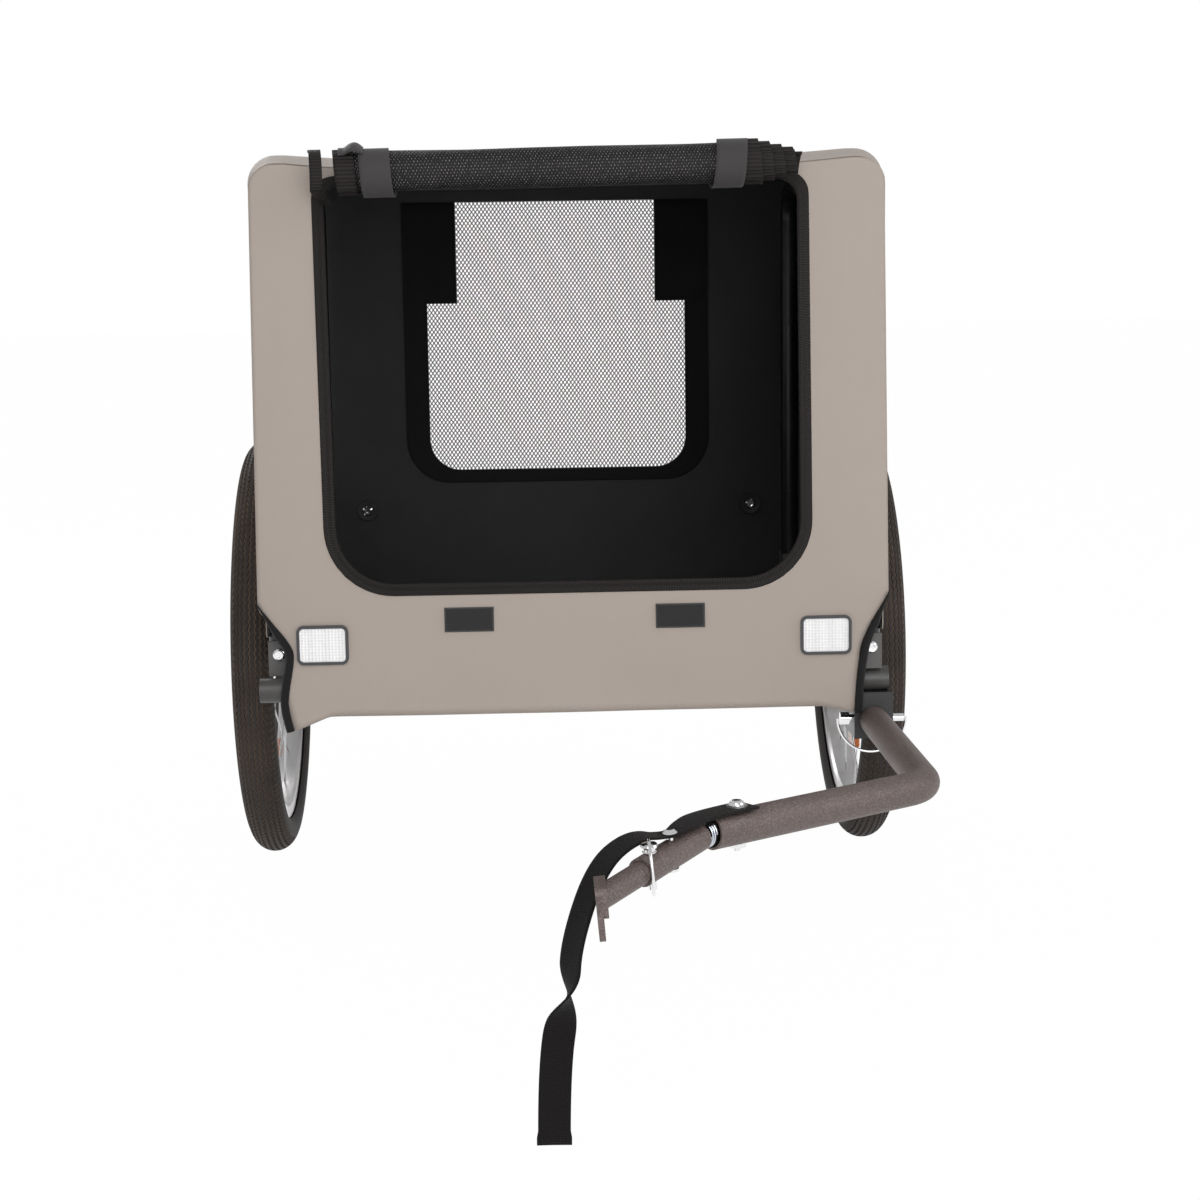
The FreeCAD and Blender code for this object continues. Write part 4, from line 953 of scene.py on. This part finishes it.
roll_steps = 150
roll_half = 0.189
roll_slope = 0.015
leave_angle = math.radians(62)
tape_wall = 0.0016


def eased(share):
    """Runs from 0 to 1 with a soft start and end."""
    share = min(1.0, max(0.0, share))
    return share * share * (3 - 2 * share)


def spiral(share):
    """The door's line in the roll's section, from the core out to where it leaves for the roof."""
    radius = core_radius + (roll_radius - 0.0012 - core_radius) * share
    angle = leave_angle + 2 * math.pi * roll_turns * (1 - share)
    return radius, angle


def round_roll(x, radius, angle):
    return Vector((x, roll_y + radius * math.cos(angle), roll_z + roll_slope * x + radius * math.sin(angle)))


def on_roll(u, v):
    radius, angle = spiral(v)
    x = -roll_half + 2 * roll_half * u + askew * (0.5 - v)
    soft = 1 + 0.05 * v * math.sin(21 * x + 1.7 * angle) * math.cos(3 * angle + 9 * x)
    return round_roll(x, radius * soft, angle)


roll_length = 2 * math.pi * roll_turns * (core_radius + roll_radius - 0.0012) / 2
rolled_door = lattice("rolled_door", 56, roll_steps, on_roll, roll_net, up,
                      lambda u, v, spot: (u * 2 * roll_half, v * roll_length), wall=0.0008)
roll_tapes = []
for end in (0, 1):
    def on_roll_tape(u, v):
        radius, angle = spiral(v)
        reach = 0.020 * u - 0.003
        x = on_roll(end, v).x + (reach if end else -reach)
        return round_roll(x, radius + 0.0018 + 0.0008 * math.cos(11 * angle), angle)

    roll_tapes.append(lattice("roll_tape", 5, roll_steps, on_roll_tape, zip_coil, up,
                              lambda u, v, spot: (v * roll_length, u * 0.02), wall=tape_wall))


def on_loose_tape(u, v):
    x = -0.2525 + 0.012 * u + 0.004 * math.sin(math.pi * v)
    hung = round_roll(x, roll_radius + 0.0015, math.radians(75 + 150 * min(1.0, v / 0.7)))
    sewn = on_skin(x + 0.004, 0.768, 0.004)
    return hung.lerp(sewn, eased((v - 0.7) / 0.3))


roll_tapes.append(lattice("loose_tape", 4, 40, on_loose_tape, zip_coil, up,
                          lambda u, v, spot: (v * 0.07, u * 0.012), wall=tape_wall))
roll_tape = joined("roll_tape_pair", roll_tapes)
sewn_on(rolled_door, "door_roll")
sewn_on(roll_tape)

# Roll straps: two bands of smooth dark webbing sewn to the roof's edge, wrapped over the roll
# and closed on themselves with hook-and-loop tape. The left one's tail stands off.
band_grey = woven("strap_band", (0.040, 0.037, 0.038), (0.062, 0.057, 0.058), 0.0009, 0.5, 0.00012, 0.1)
band_width = 0.030
bands = []
for x, tail_lift in ((-0.185, 0.006), (0.156, 0.002)):
    def on_band(u, v):
        angle = math.radians(40 + 340 * v)
        radius = roll_radius + 0.0014 + 0.0010 * v
        spread_out = max(0.0, v - 0.86) / 0.14
        radius += tail_lift * spread_out ** 2
        lean = 0.010 * (v - 0.5) * (1 if x < 0 else -1)
        return round_roll(x + (u - 0.5) * band_width + lean, radius, angle)

    bands.append(lattice("roll_band", 8, 96, on_band, band_grey, up,
                         lambda u, v, spot: (u * 0.029, v * 0.18), wall=0.0011))


def on_tail(u, v):
    lift = 0.0025 + 0.006 * math.sin(math.pi * min(1.0, v * 1.3)) * (1 - 0.4 * v)
    return round_roll(-0.198 - 0.024 * v, roll_radius + lift, math.radians(95 + 40 * u))


bands.append(lattice("roll_tail", 6, 16, on_tail, band_grey, up,
                     lambda u, v, spot: (u * 0.02, v * 0.024), wall=tape_wall))
roll_bands = joined("roll_band_pair", bands)
sewn_on(roll_bands, "roll_straps")

# Tow arm: a thick steel tube bent once, in a grey-brown hammered coat, held in its socket by a pin.
# The coat is metallic and pebbled, with lighter flecks.
hammered = Finish("arm_hammertone", Specular_IOR_Level=0.5, Metallic=0.35)
pebble = hammered.node("TexVoronoi", None, {"Vector": hammered.place(), "Scale": 520.0}, "Distance")
fine = hammered.noise(1100.0, 2.0)
fleck = hammered.patches(640.0, 3.0, 0.45, 0.72)
rubbed = hammered.patches(12.0, 5.0, 0.5, 0.8)
hammered.skin(
    fleck * 0.55 + rubbed * 0.15, (0.112, 0.086, 0.080), (0.295, 0.232, 0.217),
    0.40 + fine * 0.16 + rubbed * 0.1, pebble * 0.7 + fine * 0.5, 0.0005)
dress(hammered, "tow_arm", "swivel_tube", "coupler")
dress(chrome, "arm_pin", "arm_pin_bail", "hitch_pin_bail", "strap_rivet")
dress(rubber, "flex_core")

# Sprung hitch: a short coil lets the coupler follow the bicycle, and a pin with a spring bail locks it.
# The coil is bright steel, and the pin has a domed chrome head.
arm_tip = Vector((0.092, axle_y - 0.900, 0.233))
hitch_tip = Vector((0.003, axle_y - 1.014, 0.214))
arm_bend = Vector((0.306, axle_y - 0.748, 0.233))
arm_way = (arm_tip - arm_bend).normalized()
hitch_way = (hitch_tip - arm_tip).normalized()
hitch_side = up.cross(hitch_way).normalized()
hitch_up = hitch_way.cross(hitch_side)
coil_way = (arm_way + hitch_way).normalized()
coil_side = up.cross(coil_way).normalized()
coil_up = coil_way.cross(coil_side)
coil_turns = 3
coil_pitch = 0.00275
coil_radius = 0.011
coil_wire = 0.0011


def on_coil(u, v):
    angle = 2 * math.pi * coil_turns * v
    ring = coil_side * math.cos(angle) + coil_up * math.sin(angle)
    middle = arm_tip + coil_way * ((v - 0.5) * coil_turns * coil_pitch)
    around = 2 * math.pi * u
    return middle + ring * (coil_radius + coil_wire * math.cos(around)) + coil_way * (coil_wire * math.sin(around))


spring_steel = plated("spring_steel", (0.62, 0.66, 0.72), 0.12, 500.0)
coil = lattice("flex_coil", 12, 120, on_coil, spring_steel)
edit(coil)
bpy.ops.mesh.select_mode(type="EDGE")
bpy.ops.mesh.select_all(action="DESELECT")
bpy.ops.mesh.select_non_manifold()
bpy.ops.mesh.fill_holes(sides=0)
bpy.ops.mesh.select_mode(type="VERT")
bpy.ops.object.mode_set(mode="OBJECT")
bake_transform(coil)
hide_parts("flex_spring")

pin_reach = 0.0781
pin_centre = arm_tip + hitch_way * pin_reach
tube_top = 0.012
pin_profile = [(0.0, -0.0195), (0.0028, -0.0195), (0.0035, -0.0185)] + [
    (radius, tube_top + rise) for radius, rise in (
        (0.0035, 0.0002), (0.0058, 0.0004), (0.0060, 0.0012), (0.0050, 0.0022), (0.0048, 0.0034), (0.0068, 0.0046),
        (0.0072, 0.0060), (0.0064, 0.0074), (0.0040, 0.0082), (0.0, 0.0084))]
fit(turned("hitch_lock_pin", pin_profile, pin_centre, hitch_up, chrome, 36), "hitch", "hitch_pin")

# Safety strap: black webbing bolted on the arm, lying along it, then over the hitch and hanging free.
# It narrows at the rivet and is twisted once, and its cut end is a little wider.
webbing = Finish("strap_webbing", Specular_IOR_Level=0.1, Sheen_Weight=0.05, Sheen_Roughness=0.5)
strap_u, strap_v = webbing.threads()
cross_rib = webbing.wave(strap_v, 0.0019)
long_rib = webbing.wave(strap_u, 0.0030)
herring = webbing.wave(strap_v + strap_u * 0.8, 0.0022)
webbing.skin(
    cross_rib * 0.35 + herring * 0.3, (0.0042, 0.0038, 0.0038), (0.016, 0.013, 0.0125),
    0.72 - herring * 0.1, cross_rib * 0.6 + herring * 0.6 + long_rib * 0.25, 0.0005)
arm_radius = 0.015
strap_top = arm_tip.z + arm_radius + 0.0013
strap_width = 0.026
strap_side = up.cross(arm_way)
rivet_share = 0.245
twist_share, twist_run = 0.63, 0.16
strap_route = [(-0.050, 0, 0), (0.004, 0, 0), (0.030, 0.009, -0.004), (0.043, 0.0132, -0.0070),
               (0.0515, 0.0140, -0.0078), (0.074, -0.001, -0.0055), (0.108, -0.005, -0.026), (0.139, 0, -0.084),
               (0.140, 0, -0.122), (0.157, 0, -0.166), (0.158, 0, -0.244)]
strap_start = Vector((arm_tip.x, arm_tip.y, strap_top))
strap_points = [strap_start + arm_way * run + strap_side * aside + Vector((0, 0, rise))
                for run, aside, rise in strap_route]
strap_path = drawn_line("strap_route", strap_points, 24)
run_so_far = [0.0]
for a, b in zip(strap_path, strap_path[1:]):
    run_so_far.append(run_so_far[-1] + (b - a).length)
strap_length = run_so_far[-1]


def on_strap(u, v):
    index = round(v * (len(strap_path) - 1))
    along = run_so_far[index] / strap_length
    start = math.atan2(strap_side.y, strap_side.x)
    angle = start + (-math.pi - start) * eased((along - twist_share) / twist_run)
    flat_way = Vector((math.cos(angle), math.sin(angle), 0))
    ahead = (strap_path[min(index + 1, len(strap_path) - 1)] - strap_path[max(index - 1, 0)]).normalized()
    across = (flat_way - ahead * flat_way.dot(ahead)).normalized()
    face = ahead.cross(across)
    pinch = math.exp(-((along - rivet_share) / 0.035) ** 2)
    width = strap_width * (1 - 0.34 * pinch) + (0.002 if along > 0.985 else 0.0)
    curl = 0.0008 * math.sin(math.pi * u) * math.sin(9 * along) + 0.002 * pinch * abs(2 * u - 1) ** 3
    return strap_path[index] + across * ((u - 0.5) * width) + face * curl


strap = lattice("safety_webbing", 12, len(strap_path) - 1, on_strap, webbing, up,
                lambda u, v, spot: (u * strap_width, run_so_far[round(v * (len(strap_path) - 1))]), wall=0.0018)
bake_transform(strap)
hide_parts("safety_strap")

bolt_back = 0.036
bolt_spot = arm_tip - arm_way * bolt_back
strap_bolt = button_bolt("strap_button_bolt", 0.0068, 0.003, 0.0363,
                         (bolt_spot.x, bolt_spot.y, strap_top + 0.0026), up)
washer_profile = [(0.0032, 0.0), (0.009, 0.0), (0.009, 0.0012), (0.0084, 0.0015), (0.0032, 0.0015), (0.0032, 0.0)]
bolt_washer = turned("strap_washer", washer_profile, (bolt_spot.x, bolt_spot.y, strap_top + 0.0011), up, zinc)
fit(joined("strap_button_bolt", [strap_bolt, bolt_washer]), "base", "strap_bolt")
tuple(strap_path[0])

# Studio: a pale floor and a white background, with a large soft lamp and a fill in front,
# one more on the right and one behind.
bpy.ops.object.select_all(action="DESELECT")
bpy.ops.mesh.primitive_plane_add(size=60.0, location=(0, 0, 0))
floor = bpy.context.object
floor.name = "studio_floor"
white = (1.0, 1.0, 1.0, 1.0)
pale = Finish("studio_pale", Roughness=0.9, Base_Color=(0.86, 0.86, 0.86, 1.0))
seen = pale.seen_by("Is Camera Ray", "Is Glossy Ray", "Is Transmission Ray")
glow = pale.node("Emission", None, {"Color": white, "Strength": 1.0})
blend = pale.node("MixShader", None, {0: seen * 0.985, 1: Value(pale, pale.shader.outputs[0]), 2: glow})
pale.feed(pale.tree.nodes["Material Output"].inputs["Surface"], blend)
floor.data.materials.append(pale.material)

world = bpy.data.worlds.new("studio_world")
bpy.context.scene.world = world
world.use_nodes = True
sky = Nodes(world.node_tree)
background = sky.tree.nodes["Background"]
background.inputs["Color"].default_value = white
seen = sky.seen_by("Is Camera Ray", "Is Transmission Ray")
sky.feed(background.inputs["Strength"], sky.node("MapRange", None, {0: seen, 3: 0.55, 4: 1.0}))


def soft_lamp(name, spot, target, size, power):
    data = bpy.data.lights.new(name, "AREA")
    data.shape = "DISK"
    data.size = size
    data.energy = power
    lamp = bpy.data.objects.new(name, data)
    bpy.context.scene.collection.objects.link(lamp)
    lamp.location = spot
    lamp.rotation_euler = (Vector(target) - Vector(spot)).to_track_quat("-Z", "Y").to_euler()


soft_lamp("front_key", (-0.4, -3.4, 2.6), (0, 0, 0.5), 2.2, 40.0)
soft_lamp("front_fill", (0.6, -3.3, 0.9), (0, 0.3, 0.5), 1.6, 26.0)
soft_lamp("right_fill", (3.0, -1.0, 1.8), (0, 0.2, 0.4), 1.8, 24.0)
soft_lamp("rear_rim", (-1.6, 3.2, 2.4), (0, 0.3, 0.6), 1.8, 26.0)

camera_data = bpy.data.cameras.new("photo_camera")
camera_data.sensor_width = 36.0
camera_data.lens = 65.79
camera = bpy.data.objects.new("photo_camera", camera_data)
bpy.context.scene.collection.objects.link(camera)
yaw, pitch, roll = math.radians(-2.149), math.radians(81.65), math.radians(-0.844)
turn = Matrix.Rotation(yaw, 4, "Z") @ Matrix.Rotation(pitch, 4, "X") @ Matrix.Rotation(roll, 4, "Z")
camera.matrix_world = Matrix.Translation((-0.0567, -2.2627, 0.6872)) @ turn
bpy.context.scene.camera = camera
bpy.context.scene.view_settings.view_transform = "Standard"
